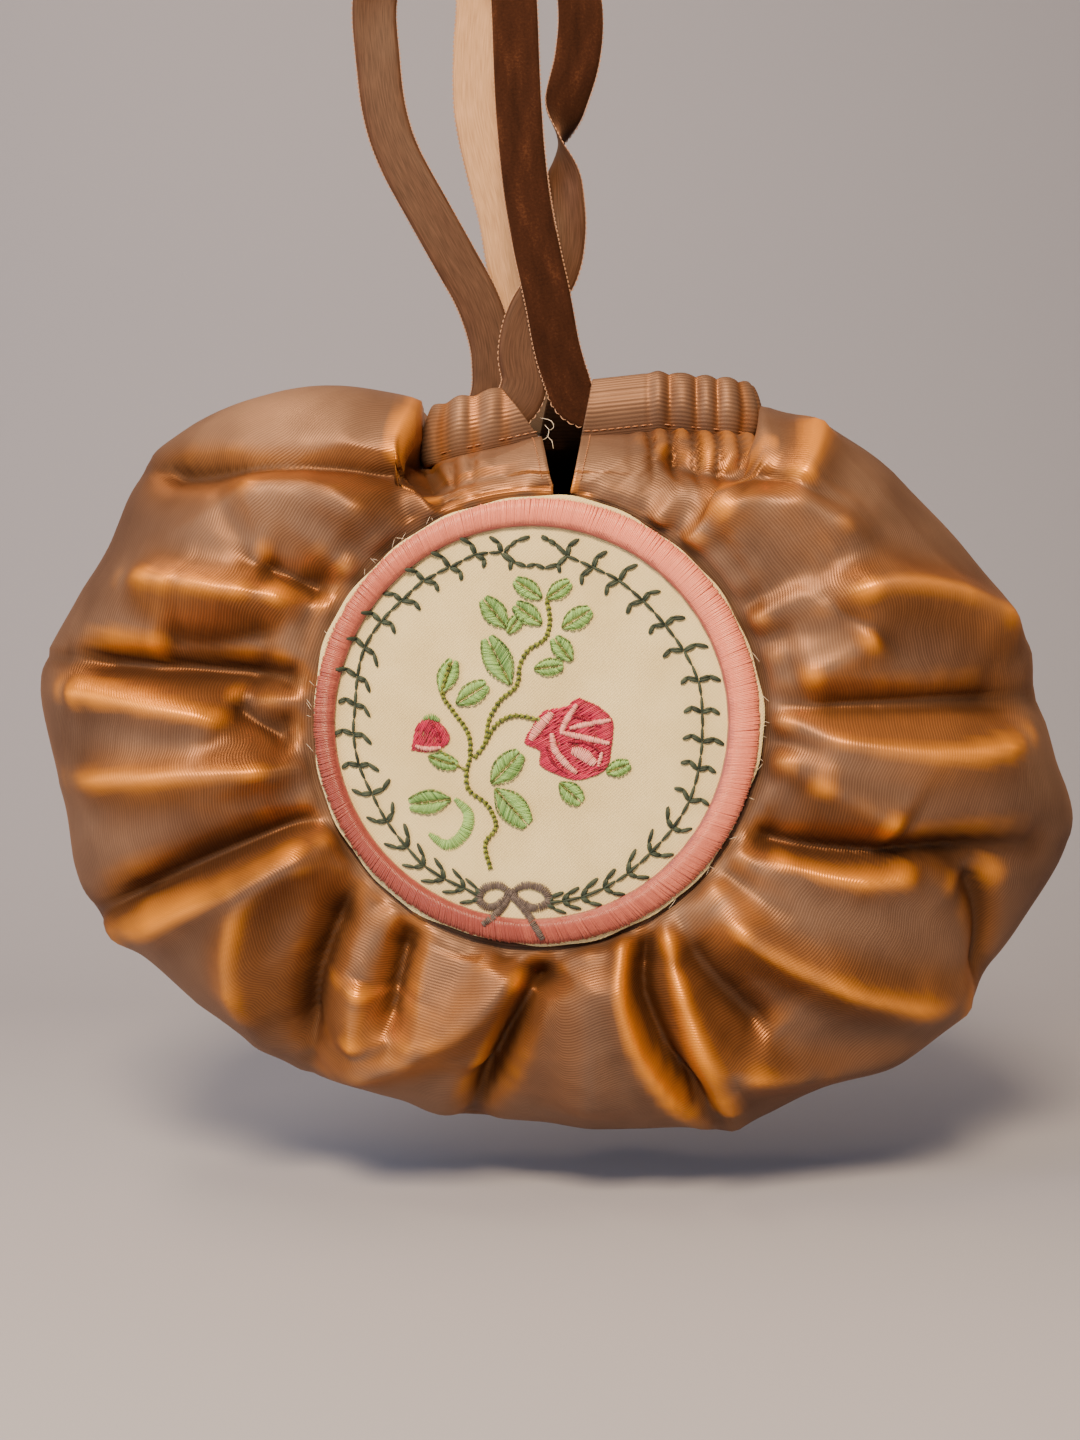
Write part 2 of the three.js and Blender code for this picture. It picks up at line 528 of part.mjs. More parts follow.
// A ribbon's route with its own facing, so that the flat section turns as the ribbon does
class RibbonRoute extends THREE.CatmullRomCurve3 {
  constructor(rows) {
    super(rows.map(([x, y, z]) => new THREE.Vector3(x, y, z)), false, 'centripetal');
    this.facing = rows.map((row) => new THREE.Vector3(row[3], row[4], row[5]));
  }

  getSpacedPoints(steps) {
    return this.getPoints(steps);
  }

  computeFrenetFrames(steps) {
    const frames = { tangents: [], normals: [], binormals: [] };
    for (let step = 0; step <= steps; step += 1) {
      const share = step / steps;
      const tangent = this.getTangent(share);
      const spot = share * (this.facing.length - 1);
      const low = Math.min(Math.floor(spot), this.facing.length - 2);
      const face = this.facing[low].clone().lerp(this.facing[low + 1], spot - low);
      const normal = face.addScaledVector(tangent, -face.dot(tangent)).normalize();
      frames.tangents.push(tangent);
      frames.normals.push(normal);
      frames.binormals.push(tangent.clone().cross(normal));
    }
    return frames;
  }
}

function ribbonLoop(route) {
  const { width, thickness, corner } = ribbon;
  const [wide, thin] = [width / 2, thickness / 2];
  const section = new THREE.Shape([
    [thin, corner - wide], [thin, wide - corner], [thin / 2, wide], [-thin / 2, wide],
    [-thin, wide - corner], [-thin, corner - wide], [-thin / 2, -wide], [thin / 2, -wide],
  ].map(([x, y]) => new THREE.Vector2(x, y)));
  const path = new RibbonRoute(route);
  return new THREE.ExtrudeGeometry(section, { steps: route.length - 1, extrudePath: path });
}

const reticule = new THREE.Group();
reticule.name = 'reticule';

function add(name, geometry, { colour, roughness, metalness }) {
  const finish = new THREE.MeshStandardMaterial({ color: colour, roughness, metalness });
  const mesh = new THREE.Mesh(geometry, finish);
  mesh.name = name;
  mesh.position.set(-hang.x, 0, -hang.z);
  reticule.add(mesh);
}

add('front_panel', panel(-1, divisions.front, frontRise), cloth);
add('back_panel', panel(1, divisions.back, backRise), backCloth);
add('left_casing', casingTunnel(-1, divisions.leftCasing, casing.leftSlant, casing.leftFlat), cloth);
add('right_casing', casingTunnel(1, divisions.rightCasing, casing.rightSlant, casing.rightFlat), cloth);
add('medallion_cloth', clothRound(-1), creamCloth);
add('medallion_border', satinBorder(), pinkSatin);
add('back_round', clothRound(1), backCloth);
add('left_ribbon', ribbonLoop(leftRoute), brownRibbon);
add('right_ribbon', ribbonLoop(rightRoute), brownRibbon);

export default reticule;
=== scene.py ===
import math

import bpy
import numpy as np
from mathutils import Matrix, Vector


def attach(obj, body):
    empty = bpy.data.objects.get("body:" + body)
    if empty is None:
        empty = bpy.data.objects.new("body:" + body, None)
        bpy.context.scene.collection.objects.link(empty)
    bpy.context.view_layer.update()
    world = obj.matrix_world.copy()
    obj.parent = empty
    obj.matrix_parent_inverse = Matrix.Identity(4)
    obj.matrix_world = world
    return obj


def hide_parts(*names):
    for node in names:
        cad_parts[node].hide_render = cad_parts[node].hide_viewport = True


# Reticule of shot taffeta with an embroidered round and velvet ribbon loops.
# Sizes are millimetres from the centre of the front round until hung() puts them in the row's frame.

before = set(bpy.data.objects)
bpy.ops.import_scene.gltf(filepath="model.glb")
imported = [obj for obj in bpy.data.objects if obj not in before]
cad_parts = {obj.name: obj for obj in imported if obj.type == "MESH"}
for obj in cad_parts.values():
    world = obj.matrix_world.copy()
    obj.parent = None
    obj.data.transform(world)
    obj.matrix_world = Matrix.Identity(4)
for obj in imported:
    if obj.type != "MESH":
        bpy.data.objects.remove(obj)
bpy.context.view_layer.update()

HANG = np.array([-15.0, 0.0, 250.0])
REACH, HALF_DEPTH, WALL, SEAM_GAP = 150.0, 36.0, 0.6, 0.3
ROUND_RADIUS, ROUND_THICK, ROUND_TUCK = 61.5, 1.5, 5.5
BORDER = {"outer": 60.0, "inner": 53.0, "middle": 57.0, "rise": 2.2, "shift_x": -1.5, "shift_z": -0.4}
PUFF, RIM_ROLL = 6.0, 4.0
HEM_WALL, ROUND_WALL = 0.8, 0.9
FOLD_SPREAD = {"wide": 2.8, "share": 0.3, "tip": 0.05, "crisp": 1.5}
LEAN = {"left": 13.0, "right": -15.0, "spread": 10.0}
MOUTH = {"centre": 16.0, "half_width": 46.5, "half_depth": 9.5, "height": 81.0, "shoulder": 3.4, "blend": 1.8}
SLIT = {"centre": 6.7, "back_shift": -12.5, "at_round": 4.7, "at_casing": 11.5}
CASING = {"thickness": 5.0, "height": 17.0, "pitch": 6.2, "overlap": 0.6, "fullness": 1.04,
          "wrap": 5.6}
RIBBON = {"width": 13.0, "thickness": 0.9}
WEAVE_RADIUS, RIB_PITCH = 95.0, 0.8
CREAM_THREAD, MM = 0.0009, 0.001
STITCH_SPACING, SATIN_SPACING, STITCH_THICK = 0.44, 0.42, 0.5
HEM = {"pitch": 2.3, "stitch": 1.7, "out": 1.75, "up": 1.9, "thick": 0.42, "thick_at_slit": 0.38}
FACE_Y = -(HALF_DEPTH + 2 * SEAM_GAP + ROUND_THICK)

PHOTO = {"width": 1080, "height": 1440, "centre_x": 537.0, "centre_y": 721.0, "mm_per_px": 0.2697}
CAMERA = {"distance": 450.0, "lens": 41.7}

# The rim's outline: angle in degrees, anticlockwise from the right, and reach as a share of REACH.
RIM = [
    (7, 0.942), (22, 0.88), (32, 0.843), (41, 0.831), (47, 0.812), (56, 0.78), (66, 0.74), (105, 0.62),
    (112, 0.64), (119, 0.72), (125, 0.787), (131, 0.827), (142, 0.897), (147, 0.915), (157, 0.891),
    (165, 0.917), (171, 0.953), (175, 0.966), (188, 0.921), (204, 0.938), (211, 0.879), (222, 0.837),
    (230, 0.812), (241, 0.779), (250, 0.769), (257, 0.787), (273, 0.771), (291, 0.827), (296, 0.864),
    (312, 0.889), (327, 0.981), (338, 1.017), (349, 1.053), (356, 0.999),
]
# The casings' foot: place across the mouth, and rise, as shares of its half width and the casing's height.
MOUTH_RISE = [(-1.1, -0.47), (-0.33, 0), (0, 0), (0.4, 0.12), (1.1, -0.06)]

# Columns under the right casing, round the rim and under the left casing, and rows, of each panel's grid.
PANEL_GRID = {-1: (50, 350, 36, 92), 1: (36, 260, 30, 60)}

# Each fold of the front: angle and share of the way out at its start, middle and end, the widths of
# its two flanks as shares of the reach, and its rise as a share of half the depth.
FOLDS = [
    (147, 0.97, 137, 0.62, 98, 0.42, 0.030, 0.060, -0.21),
    (146, 0.58, 134, 0.42, 130, 0.07, 0.060, 0.070, 0.18),
    (149, 0.04, 150, 0.18, 151, 0.35, 0.028, 0.030, -0.21),
    (161, 0.80, 158, 0.45, 151, 0.10, 0.040, 0.045, 0.18),
    (166, 0.60, 166, 0.40, 158, 0.12, 0.045, 0.045, -0.14),
    (172, 0.88, 171, 0.50, 169, 0.02, 0.028, 0.055, -0.26),
    (176, 0.85, 177, 0.60, 181, 0.20, 0.035, 0.040, 0.18),
    (177, 0.28, 181, 0.16, 186, 0.04, 0.035, 0.035, -0.15),
    (187, 0.90, 189, 0.45, 191, 0.05, 0.040, 0.045, 0.18),
    (203, 0.02, 203, 0.45, 204, 0.98, 0.030, 0.040, -0.29),
    (207, 0.05, 208, 0.45, 207, 0.95, 0.040, 0.055, 0.18),
    (218, 0.02, 213, 0.45, 229, 0.92, 0.045, 0.045, 0.21),
    (222, 0.03, 229, 0.50, 236, 0.87, 0.030, 0.035, -0.26),
    (236, 0.40, 238, 0.55, 241, 0.72, 0.040, 0.040, 0.14),
    (239, 0.01, 242, 0.35, 245, 0.60, 0.028, 0.030, -0.21),
    (264, 0.02, 256, 0.40, 236, 0.97, 0.045, 0.050, 0.21),
    (269, 0.03, 263, 0.40, 261, 0.70, 0.028, 0.030, 0.12),
    (273, 0.03, 266, 0.35, 261, 0.95, 0.032, 0.035, -0.33),
    (281, 0.08, 279, 0.50, 277, 0.92, 0.080, 0.080, 0.14),
    (295, 0.02, 287, 0.40, 293, 0.96, 0.035, 0.030, 0.20),
    (298, 0.02, 291, 0.42, 295, 0.90, 0.030, 0.030, -0.33),
    (302, 0.03, 297, 0.45, 296, 0.98, 0.028, 0.035, 0.17),
    (304, 0.08, 305, 0.40, 307, 0.66, 0.040, 0.045, -0.18),
    (297, 0.33, 304, 0.76, 326, 0.97, 0.040, 0.045, 0.18),
    (313, 0.10, 318, 0.50, 327, 0.97, 0.045, 0.045, 0.21),
    (341, 0.68, 336, 0.85, 328, 0.98, 0.028, 0.030, -0.15),
    (330, 0.02, 333, 0.35, 340, 0.56, 0.030, 0.035, 0.15),
    (334, 0.02, 337, 0.30, 346, 0.84, 0.028, 0.040, -0.22),
    (348, 0.10, 345, 0.30, 343, 0.45, 0.045, 0.045, 0.15),
    (359, 0.04, 355, 0.50, 358, 0.85, 0.038, 0.045, 0.18),
    (3, 0.08, 3, 0.50, 3, 0.93, 0.030, 0.040, -0.18),
    (9, 0.10, 11, 0.28, 15, 0.42, 0.045, 0.045, 0.14),
    (21, 0.30, 18, 0.65, 8, 0.97, 0.050, 0.055, 0.26),
    (66, 0.80, 55, 0.60, 42, 0.55, 0.030, 0.045, -0.14),
    (42, 0.50, 44, 0.65, 47, 0.88, 0.035, 0.040, 0.15),
    (50, 0.15, 42, 0.40, 26, 0.55, 0.060, 0.060, 0.18),
]
# The waves of the back: how many there are, where they start, and rise as a share of half the depth.
ROSETTE = [(9, 0.6, 0.09), (14, 2.1, 0.07), (5, 1.2, 0.05)]

# Small creases: how many stand round the bag, how many turns they lean on the way out, how far they
# wander, and their height in millimetres.
CREASES = [
    (11, 0.35, 0.9, 1.0), (13, -0.5, 1.2, 0.8), (19, 0.7, 1.6, 0.5), (23, -0.9, 1.5, 0.4),
    (34, 1.3, 2.2, 0.24), (41, -1.6, 2.0, 0.2), (7, 1.6, 1.5, 0.7), (5, -2.2, 2.0, 0.6),
]

# The ribbons' routes: place, and the direction that the velvet faces.
LEFT_ROUTE = [
    (-30.5, -0.3, 81.9, 1, 0, 0), (-29.8, -3.6, 82.1, 1, 0.4, 0), (-27.7, -6.7, 82.6, 0.7, 0.7, 0),
    (-24.6, -8.8, 83.4, 0.4, 1, 0), (-21, -9.5, 84.2, 0, 1, 0), (-11.8, -9.4, 87.4, 0, 1, 0),
    (-6, -9.1, 91.2, 0, 1, 0), (-3.6, -8.8, 97.6, 0, 1, 0), (-4.6, -8.6, 106, 0, 1, 0),
    (-2, -8.4, 117, 0, 1, 0), (5.2, -8.3, 129, -0.1, 1, 0), (7.4, -8.2, 140, 0, 1, 0),
    (7.1, -8, 154, 0.5, 0.9, 0), (6.4, -8, 166, 1, 0, 0), (8, -8, 177, 0.5, -0.9, 0),
    (11.6, -8, 191, 0.1, -1, 0), (12.3, -8, 206, 0.2, -1, 0), (8.6, -5.5, 226, 0.7, -0.6, 0.3),
    (-1, -2, 242, 0.6, 0, 0.8), (-15, 0, 249.4, 0, 0, 1), (-31, 3, 243, -0.6, 0, 0.8),
    (-43.5, 7, 230, -0.7, 0.6, 0.3), (-48.4, 9, 215, -0.2, 1, 0), (-47.5, 9, 197, 0, 1, 0),
    (-45.4, 9, 181, 0, 1, 0), (-40.9, 9, 167.5, 0, 1, 0), (-32, 9, 151, 0, 1, 0),
    (-24.5, 9, 137.6, 0, 1, 0), (-18, 9, 125.7, 0, 1, 0), (-14, 9, 114, 0, 1, 0),
    (-12.9, 8.9, 105, 0, 1, 0), (-13.2, 8.9, 97.2, 0, 1, 0), (-16, 9.1, 90.4, 0, 1, 0),
    (-21, 9.4, 85.6, 0, 1, 0), (-24.6, 8.8, 83.4, -0.4, 1, 0),
    (-27.7, 6.7, 82.6, -0.7, 0.7, 0), (-29.8, 3.6, 82.1, -1, 0.4, 0), (-30.5, 0.3, 81.9, -1, 0, 0),
]
RIGHT_ROUTE = [
    (62.5, -0.3, 89.2, 1, 0, 0), (61.8, -3.6, 89.3, 1, -0.4, 0), (59.7, -6.7, 89.6, 0.7, -0.7, 0),
    (56.6, -8.8, 90, 0.4, -1, 0), (53, -9.5, 90.4, 0, -1, 0), (34.6, -9.5, 91.9, 0, -1, 0),
    (17.4, -9.5, 90.2, 0, -1, 0), (11, -9.8, 92.2, 0, -1, 0), (8.3, -10.3, 98.2, 0, -1, 0),
    (5.6, -11.2, 107, 0, -1, 0), (3.1, -12.3, 120, 0, -1, 0), (-0.6, -12.4, 137, 0, -1, 0),
    (-3.4, -12.2, 154, 0, -1, 0), (-5.4, -11.8, 177, 0, -1, 0), (-6.6, -11, 206, 0, -1, 0.1),
    (-8, -8.6, 226, 0, -1, 0.4), (-11, -5, 239, 0, -0.7, 0.7), (-14.5, 0, 245.5, 0, 0, 1),
    (-17.6, 5, 240, 0, 0.7, 0.7), (-18.4, 9, 228, 0, 1, 0.3), (-17.6, 11, 215, 0, 1, 0),
    (-18.5, 11.2, 200, 0, 1, 0), (-18.2, 11.2, 182, 0, 1, 0), (-14.6, 11.2, 164.5, 0, 1, 0),
    (-11, 11.2, 151, 0, 1, 0), (-8.7, 11.2, 137.6, 0, 1, 0), (-6, 11.2, 125.7, 0, 1, 0),
    (-4, 11.2, 113, 0, 1, 0), (-2.2, 10.8, 104, 0, 1, 0), (-1.7, 10.3, 98.2, 0, 1, 0),
    (1, 9.8, 92.2, 0, 1, 0), (7.4, 9.5, 90.1, 0, 1, 0), (20, 9.5, 90.6, 0, 1, 0),
    (34.6, 9.5, 91.9, 0, 1, 0),
    (53, 9.5, 90.4, 0, 1, 0), (56.6, 8.8, 90, 0.4, 1, 0), (59.7, 6.7, 89.6, 0.7, 0.7, 0),
    (61.8, 3.6, 89.3, 1, 0.4, 0), (62.5, 0.3, 89.2, 1, 0, 0),
]

# The lights: name, place in metres, size, watts and colour.
LIGHTS = [
    ("window", (-0.85, -0.75, 0.15), (0.6, 1.0), 7, (0.93, 0.95, 1.0)),
    ("warm_lamp", (-0.1, -0.85, 0.42), (0.3, 0.3), 24.5, (1.0, 0.70, 0.42)),
    ("overhead", (-0.35, -0.1, 0.7), (0.8, 0.2), 5.5, (1.0, 0.68, 0.40)),
    ("low_lamp", (0.25, -0.7, -0.6), (0.5, 0.1), 9, (1.0, 0.62, 0.3)),
]

# The embroidery: places are x and z in millimetres from the round's centre.
WREATH = {
    "left": [(-9.5, 45.5), (-16.5, 45), (-23.5, 41.5), (-30.5, 38), (-36.5, 32.5), (-42, 27), (-46.5, 20),
             (-48.5, 12), (-49, 4.5), (-49.5, -3.5), (-48, -12), (-44.5, -19.5), (-40.5, -27), (-35, -34),
             (-30.5, -39), (-25, -42.5), (-19.5, -45), (-15, -47.5)],
    "right": [(8, 44.5), (15, 41.5), (22, 38), (28.5, 32.5), (34.5, 26), (39.5, 19), (43.5, 11), (44.5, 2.5),
              (44.5, -5.5), (43.5, -13), (41, -21.5), (36.5, -29), (30.5, -35.5), (24.5, -41), (18, -45),
              (12, -47.5), (7, -48.5), (2.5, -49)],
}
# How far a twig's outer and inner arms lean towards the top, in degrees, at shares of the way down.
WREATH_LEAN = {
    "left": [(0, -18, 26), (0.25, -12, 26), (0.36, 12, -26), (0.58, 14, -20), (0.75, 48, 46), (1, 54, 52)],
    "right": [(0, -16, 26), (0.35, -8, 18), (0.5, 10, 12), (0.7, 40, 40), (1, 56, 54)],
}
WREATH_HOOKS = [
    [(-2, 49.5), (-5.5, 48.5), (-9, 45.5)], [(-9, 45), (-6, 42.5), (-3, 41.5), (-0.5, 42)],
    [(1, 49.5), (5, 47.5), (8, 44.5)], [(8, 44), (5.5, 42), (2, 41), (-0.5, 42)],
]
STEMS = [
    [(-12.5, -40), (-14, -33), (-11, -28.5), (-13.5, -22.5), (-18.5, -18.5), (-19, -13.5), (-18, -9.5),
     (-18.5, -3.5), (-22.5, 2.5), (-25.5, 7), (-24.5, 12), (-23.5, 16)],
    [(-17, -10), (-14, -6), (-13, 0), (-10, 5.5), (-5.5, 9.5), (-4.5, 15.5), (-2, 19.5), (2, 22), (3.5, 27),
     (2.5, 33)],
    [(-14, -6), (-11, -1), (-6, 1.5), (1.5, 0)],
]
# Leaves: base x, base z, tip x, tip z, half width as a share of the length, and tone from dark to light.
LEAVES = [
    (1.5, 33, -6, 38, 0.26, 0.6), (2.5, 33, 9, 37.5, 0.26, 0.7), (-8, 25, -14.5, 33, 0.28, 0.5),
    (1.5, 26, -6, 31.5, 0.27, 0.55), (-8, 23.5, -4.5, 28.5, 0.28, 0.7), (6.5, 25, 14.5, 30, 0.28, 0.65),
    (9.5, 16, 4.5, 22.5, 0.3, 0.55), (-1, 14, 7, 15, 0.27, 0.7), (-7, 9.5, -13.5, 22.5, 0.25, 0.5),
    (-26, 7.5, -22.5, 16.5, 0.26, 0.75), (-22, 4.5, -13.5, 10, 0.27, 0.6),
    (-12.5, -17, -4.5, -8.5, 0.28, 0.5), (-11.5, -18, -2.5, -28, 0.27, 0.55),
    (-23, -21, -34.5, -22.5, 0.26, 0.5), (-29.5, -9.5, -21.5, -12, 0.24, 0.6),
    (18.5, -14, 25, -11.5, 0.3, 0.65), (6, -16.5, 12, -22, 0.32, 0.6),
]
CRESCENT = [(-22, -21), (-18.5, -25), (-19.5, -30), (-24, -33.5), (-29, -30.5)]
BUD = [(-34, -8), (-32.3, -1.1), (-28.2, 1), (-23.6, -3.5), (-24.9, -6.9), (-29.4, -8.5)]
ROSE = [(11.4, 6.4), (16.8, 3.9), (20.5, -0.2), (20.1, -7.7), (18.5, -13), (11.4, -15.9), (5.7, -14.7),
        (0.7, -11.8), (0.7, -8.1), (-3.4, -6), (-1.3, -1.5), (1.9, 2.6), (7.3, 3.9)]
# Pale bands over the rose and the bud: width, then the places along each.
PALE_BANDS = [
    (1.7, [(10.6, 4.3), (7.7, -0.2), (6.5, -3.1)]), (1.5, [(19.7, 0.2), (14.8, -0.6), (9, -1.9)]),
    (1.6, [(6.5, -3.1), (12.3, -4.4), (19.3, -6)]),
    (1.9, [(4, -3.5), (4.8, -7.7), (8.1, -11.8), (10.6, -13.9)]),
    (3.2, [(9.5, -8), (12.5, -9), (15.5, -11.5)]), (2.6, [(-1.7, -5), (0.6, -1.5), (4, 2)]),
    (1.1, [(17.5, -8.5), (16.5, -12)]), (1.3, [(-32.6, -6.8), (-29.5, -7.5), (-26, -7.2)]),
]
DARK_BANDS = [
    (1.0, [(9.5, 1.5), (13, 0.5), (17, -1.5)]), (1.0, [(8.5, -5.5), (13.5, -6), (18, -8.8)]),
    (0.9, [(2.5, -7), (4.2, -11), (8, -14)]), (1.0, [(-28.5, -0.5), (-27, -3), (-26.2, -5.5)]),
]
BOW = [
    (2.3, [(-7, -46.5), (-10, -44.3), (-14.2, -45), (-15.6, -48.3), (-12.4, -50.2), (-8.2, -47.6)]),
    (2.3, [(-7, -46.5), (-3.6, -44.3), (1.4, -45.2), (3.1, -48.4), (-0.8, -50.4), (-5.8, -47.6)]),
    (2.0, [(-7.5, -47.5), (-10, -51), (-14.5, -54.5)]), (2.0, [(-6.5, -47.5), (-2.5, -52), (1.5, -58.5)]),
    (3.2, [(-8.3, -46), (-7, -46.8), (-5.7, -47.6)]),
]
# The threads: name, dark and light colour, roughness.
THREADS = [
    ("wreath_thread", (0.008, 0.018, 0.012), (0.04, 0.066, 0.045), 0.6),
    ("stem_thread", (0.05, 0.075, 0.008), (0.23, 0.28, 0.035), 0.5),
    ("leaf_thread", (0.045, 0.15, 0.035), (0.30, 0.55, 0.17), 0.42),
    ("leaf_edge_thread", (0.05, 0.12, 0.03), (0.24, 0.40, 0.12), 0.5),
    ("rose_thread", (0.20, 0.002, 0.022), (0.58, 0.022, 0.10), 0.4),
    ("blush_thread", (0.62, 0.20, 0.19), (0.88, 0.47, 0.42), 0.4),
    ("bow_thread", (0.04, 0.032, 0.032), (0.15, 0.122, 0.115), 0.5),
]

# Loose thread ends at the slit's left corner: thickness, tone, then places in the round's millimetres.
SLIT_CURLS = [
    (0.2, 0.5, [(2.2, -14.6, 84), (3.4, -15.4, 82.5), (3.0, -15.6, 80.3), (1.5, -15.4, 79.6)]),
    (0.18, 0.6, [(1.0, -14.8, 86), (3.9, -15.6, 85.2), (5.0, -15.6, 83.4), (3.8, -15.3, 82.4)]),
    (0.18, 0.5, [(2.8, -14.2, 81), (4.2, -15.0, 79.4), (4.6, -15.2, 77.2)]),
]
# Frays at the round's cut edge: middle and spread of each tuft in radians, and how many threads it has.
FRAYS = [(2.35, 0.3, 9), (3.1, 0.2, 5), (-0.05, 0.25, 8), (-0.9, 0.3, 4)]


# Helpers: numbers

def ease(low, high, value):
    """0 below low and 1 above high, with a soft rise between."""
    part = np.clip((np.asarray(value, float) - low) / (high - low), 0, 1)
    return part * part * (3 - 2 * part)


def mix(a, b, part):
    return a + (b - a) * part


def hung(points):
    """Millimetres from the round's centre to metres in the row's frame."""
    return (np.asarray(points, float) - HANG) / 1000


def unit(vectors):
    return vectors / np.maximum(np.linalg.norm(vectors, axis=-1, keepdims=True), 1e-9)


def surface_normals(grid):
    """The direction square to a grid of places, at each of them."""
    return unit(np.cross(np.gradient(grid, axis=0), np.gradient(grid, axis=1)))


def way_along(line, axis=0):
    """The distance walked along a line, from its first place to each one."""
    steps = np.linalg.norm(np.diff(line, axis=axis), axis=-1)
    return np.concatenate([np.zeros((1,) + steps.shape[1:]), np.cumsum(steps, axis=axis)])


def paired(u, v, shape):
    """Two rows or columns of values spread over a grid, as pairs in its order."""
    return np.stack([np.broadcast_to(u, shape), np.broadcast_to(v, shape)], -1).reshape(-1, 2)


def round_circle(radius, turn):
    """x and z on a circle round the centre."""
    return np.array([radius * np.cos(turn), radius * np.sin(turn)])


# The cloth's shape

def rim_at(angle):
    """The rim's distance from the centre at an angle: a smooth closed curve through the rows of RIM."""
    at = np.array([row[0] for row in RIM], float)
    share = np.array([row[1] for row in RIM])
    at = np.concatenate([at[-2:] - 360, at, at[:2] + 360])
    share = np.concatenate([share[-2:], share, share[:2]])
    turn = np.mod(angle, 360)
    high = np.clip(np.searchsorted(at, turn, side="right"), 2, len(at) - 2)
    low = high - 1
    span = at[high] - at[low]
    part = (turn - at[low]) / span
    slope_low = (share[high] - share[low - 1]) / (at[high] - at[low - 1]) * span
    slope_up = (share[high + 1] - share[low]) / (at[high + 1] - at[low]) * span
    cube, square = part**3, part**2
    return REACH * ((2 * cube - 3 * square + 1) * share[low] + (cube - 2 * square + part) * slope_low
                    + (3 * square - 2 * cube) * share[high] + (cube - square) * slope_up)


def mouth_foot(x):
    """The height of the casings' foot."""
    across = (np.asarray(x, float) - MOUTH["centre"]) / MOUTH["half_width"]
    rise = np.interp(across, [row[0] for row in MOUTH_RISE], [row[1] for row in MOUTH_RISE])
    return MOUTH["height"] + CASING["height"] * rise


def mouth_depth(x):
    """How far the mouth's middle line stands off the bag's middle plane."""
    past = np.abs(x - MOUTH["centre"]) - (MOUTH["half_width"] - MOUTH["half_depth"])
    return np.sqrt(np.maximum(0, MOUTH["half_depth"]**2 - np.maximum(past, 0)**2))


END_X = [MOUTH["centre"] + side * (MOUTH["half_width"] + MOUTH["shoulder"]) for side in (-1, 1)]
LEFT_END, RIGHT_END = [math.degrees(math.atan2(mouth_foot(x), x)) for x in END_X]


def edge_at(angle):
    """A panel's outer edge at an angle: its distance, its depth, and 1 on the rim or 0 under the casings."""
    turn = np.mod(angle, 360)
    inside = np.clip(turn, RIGHT_END, LEFT_END)
    far = np.full(np.shape(turn), MOUTH["height"])
    # The foot's height depends on x and x on that height, so the two are worked out in turn until they settle.
    for _ in range(30):
        far = mouth_foot(far * np.cos(np.radians(inside))) / np.sin(np.radians(inside))
    away = np.abs(turn - inside)
    away = np.minimum(away, 360 - away)
    rim_share = ease(0, MOUTH["blend"], away)
    depth = np.where(away > 0, 0, mouth_depth(far * np.cos(np.radians(inside))))
    return mix(far, rim_at(angle), rim_share), depth, rim_share


def slit_angle(side, out, hand):
    """The angle of one edge of a panel's slit: the right edge for hand 1, the left one for hand -1."""
    far = mix(ROUND_RADIUS, float(edge_at(np.array(90.0))[0]), out)
    centre = SLIT["centre"] + (SLIT["back_shift"] if side > 0 else 0)
    half = mix(SLIT["at_round"], SLIT["at_casing"], out) / 2
    return np.degrees(np.arccos((centre + hand * half) / far))


def column_angle(side, column, out):
    """Columns run clockwise: 0 at the slit's right edge, 1 and 2 at the mouth's ends, 3 at its left edge."""
    first = mix(slit_angle(side, out, 1), RIGHT_END, column)
    rest = mix(RIGHT_END, LEFT_END - 360, column - 1)
    last = mix(LEFT_END - 360, slit_angle(side, out, -1) - 360, column - 2)
    return np.where(column <= 1, first, np.where(column <= 2, rest, last))


def shoulder_lean(angle, out):
    """How far the cloth beside the mouth's two ends leans over to lie against the casings."""
    turn = np.mod(angle, 360)
    right = np.minimum(np.abs(turn - RIGHT_END), np.abs(turn - RIGHT_END - 360))
    left = np.abs(turn - LEFT_END)
    beyond = edge_at(turn)[2] * ease(0.5, 1, out)
    return beyond * (LEAN["right"] * np.exp(-(right / LEAN["spread"])**2)
                     + LEAN["left"] * np.exp(-(left / LEAN["spread"])**2))


def base_surface(side, column, row):
    """The plump shape that the folds stand on: places, angles and shares of the way out."""
    rim_share = edge_at(column_angle(side, column, 1.0))[2]
    swing = row * np.radians(90 - side * RIM_ROLL * rim_share)
    out = np.sin(swing)
    angle = column_angle(side, column, out)
    edge, depth, _ = edge_at(angle)
    start = ROUND_RADIUS + SEAM_GAP
    far = start + (edge - start) * out
    fall = np.sign(np.cos(swing)) * np.abs(np.cos(swing))**0.75
    stretch = np.minimum(1, (edge - start) / (REACH - start) + 0.15)
    swell = 3 * PUFF * stretch * out**0.6 * np.maximum(1 - out, 0)**1.1
    deep = depth + (HALF_DEPTH - depth) * fall + swell
    turn = np.radians(angle)
    x = far * np.cos(turn) + shoulder_lean(angle, out)
    return np.stack([x, side * deep, far * np.sin(turn)], -1), angle, out


def on_plane(angle, out):
    """x and z at an angle and a share of the way out."""
    far = mix(ROUND_RADIUS, edge_at(np.array(float(angle)))[0], out)
    return np.array([far * math.cos(math.radians(angle)), far * math.sin(math.radians(angle))])


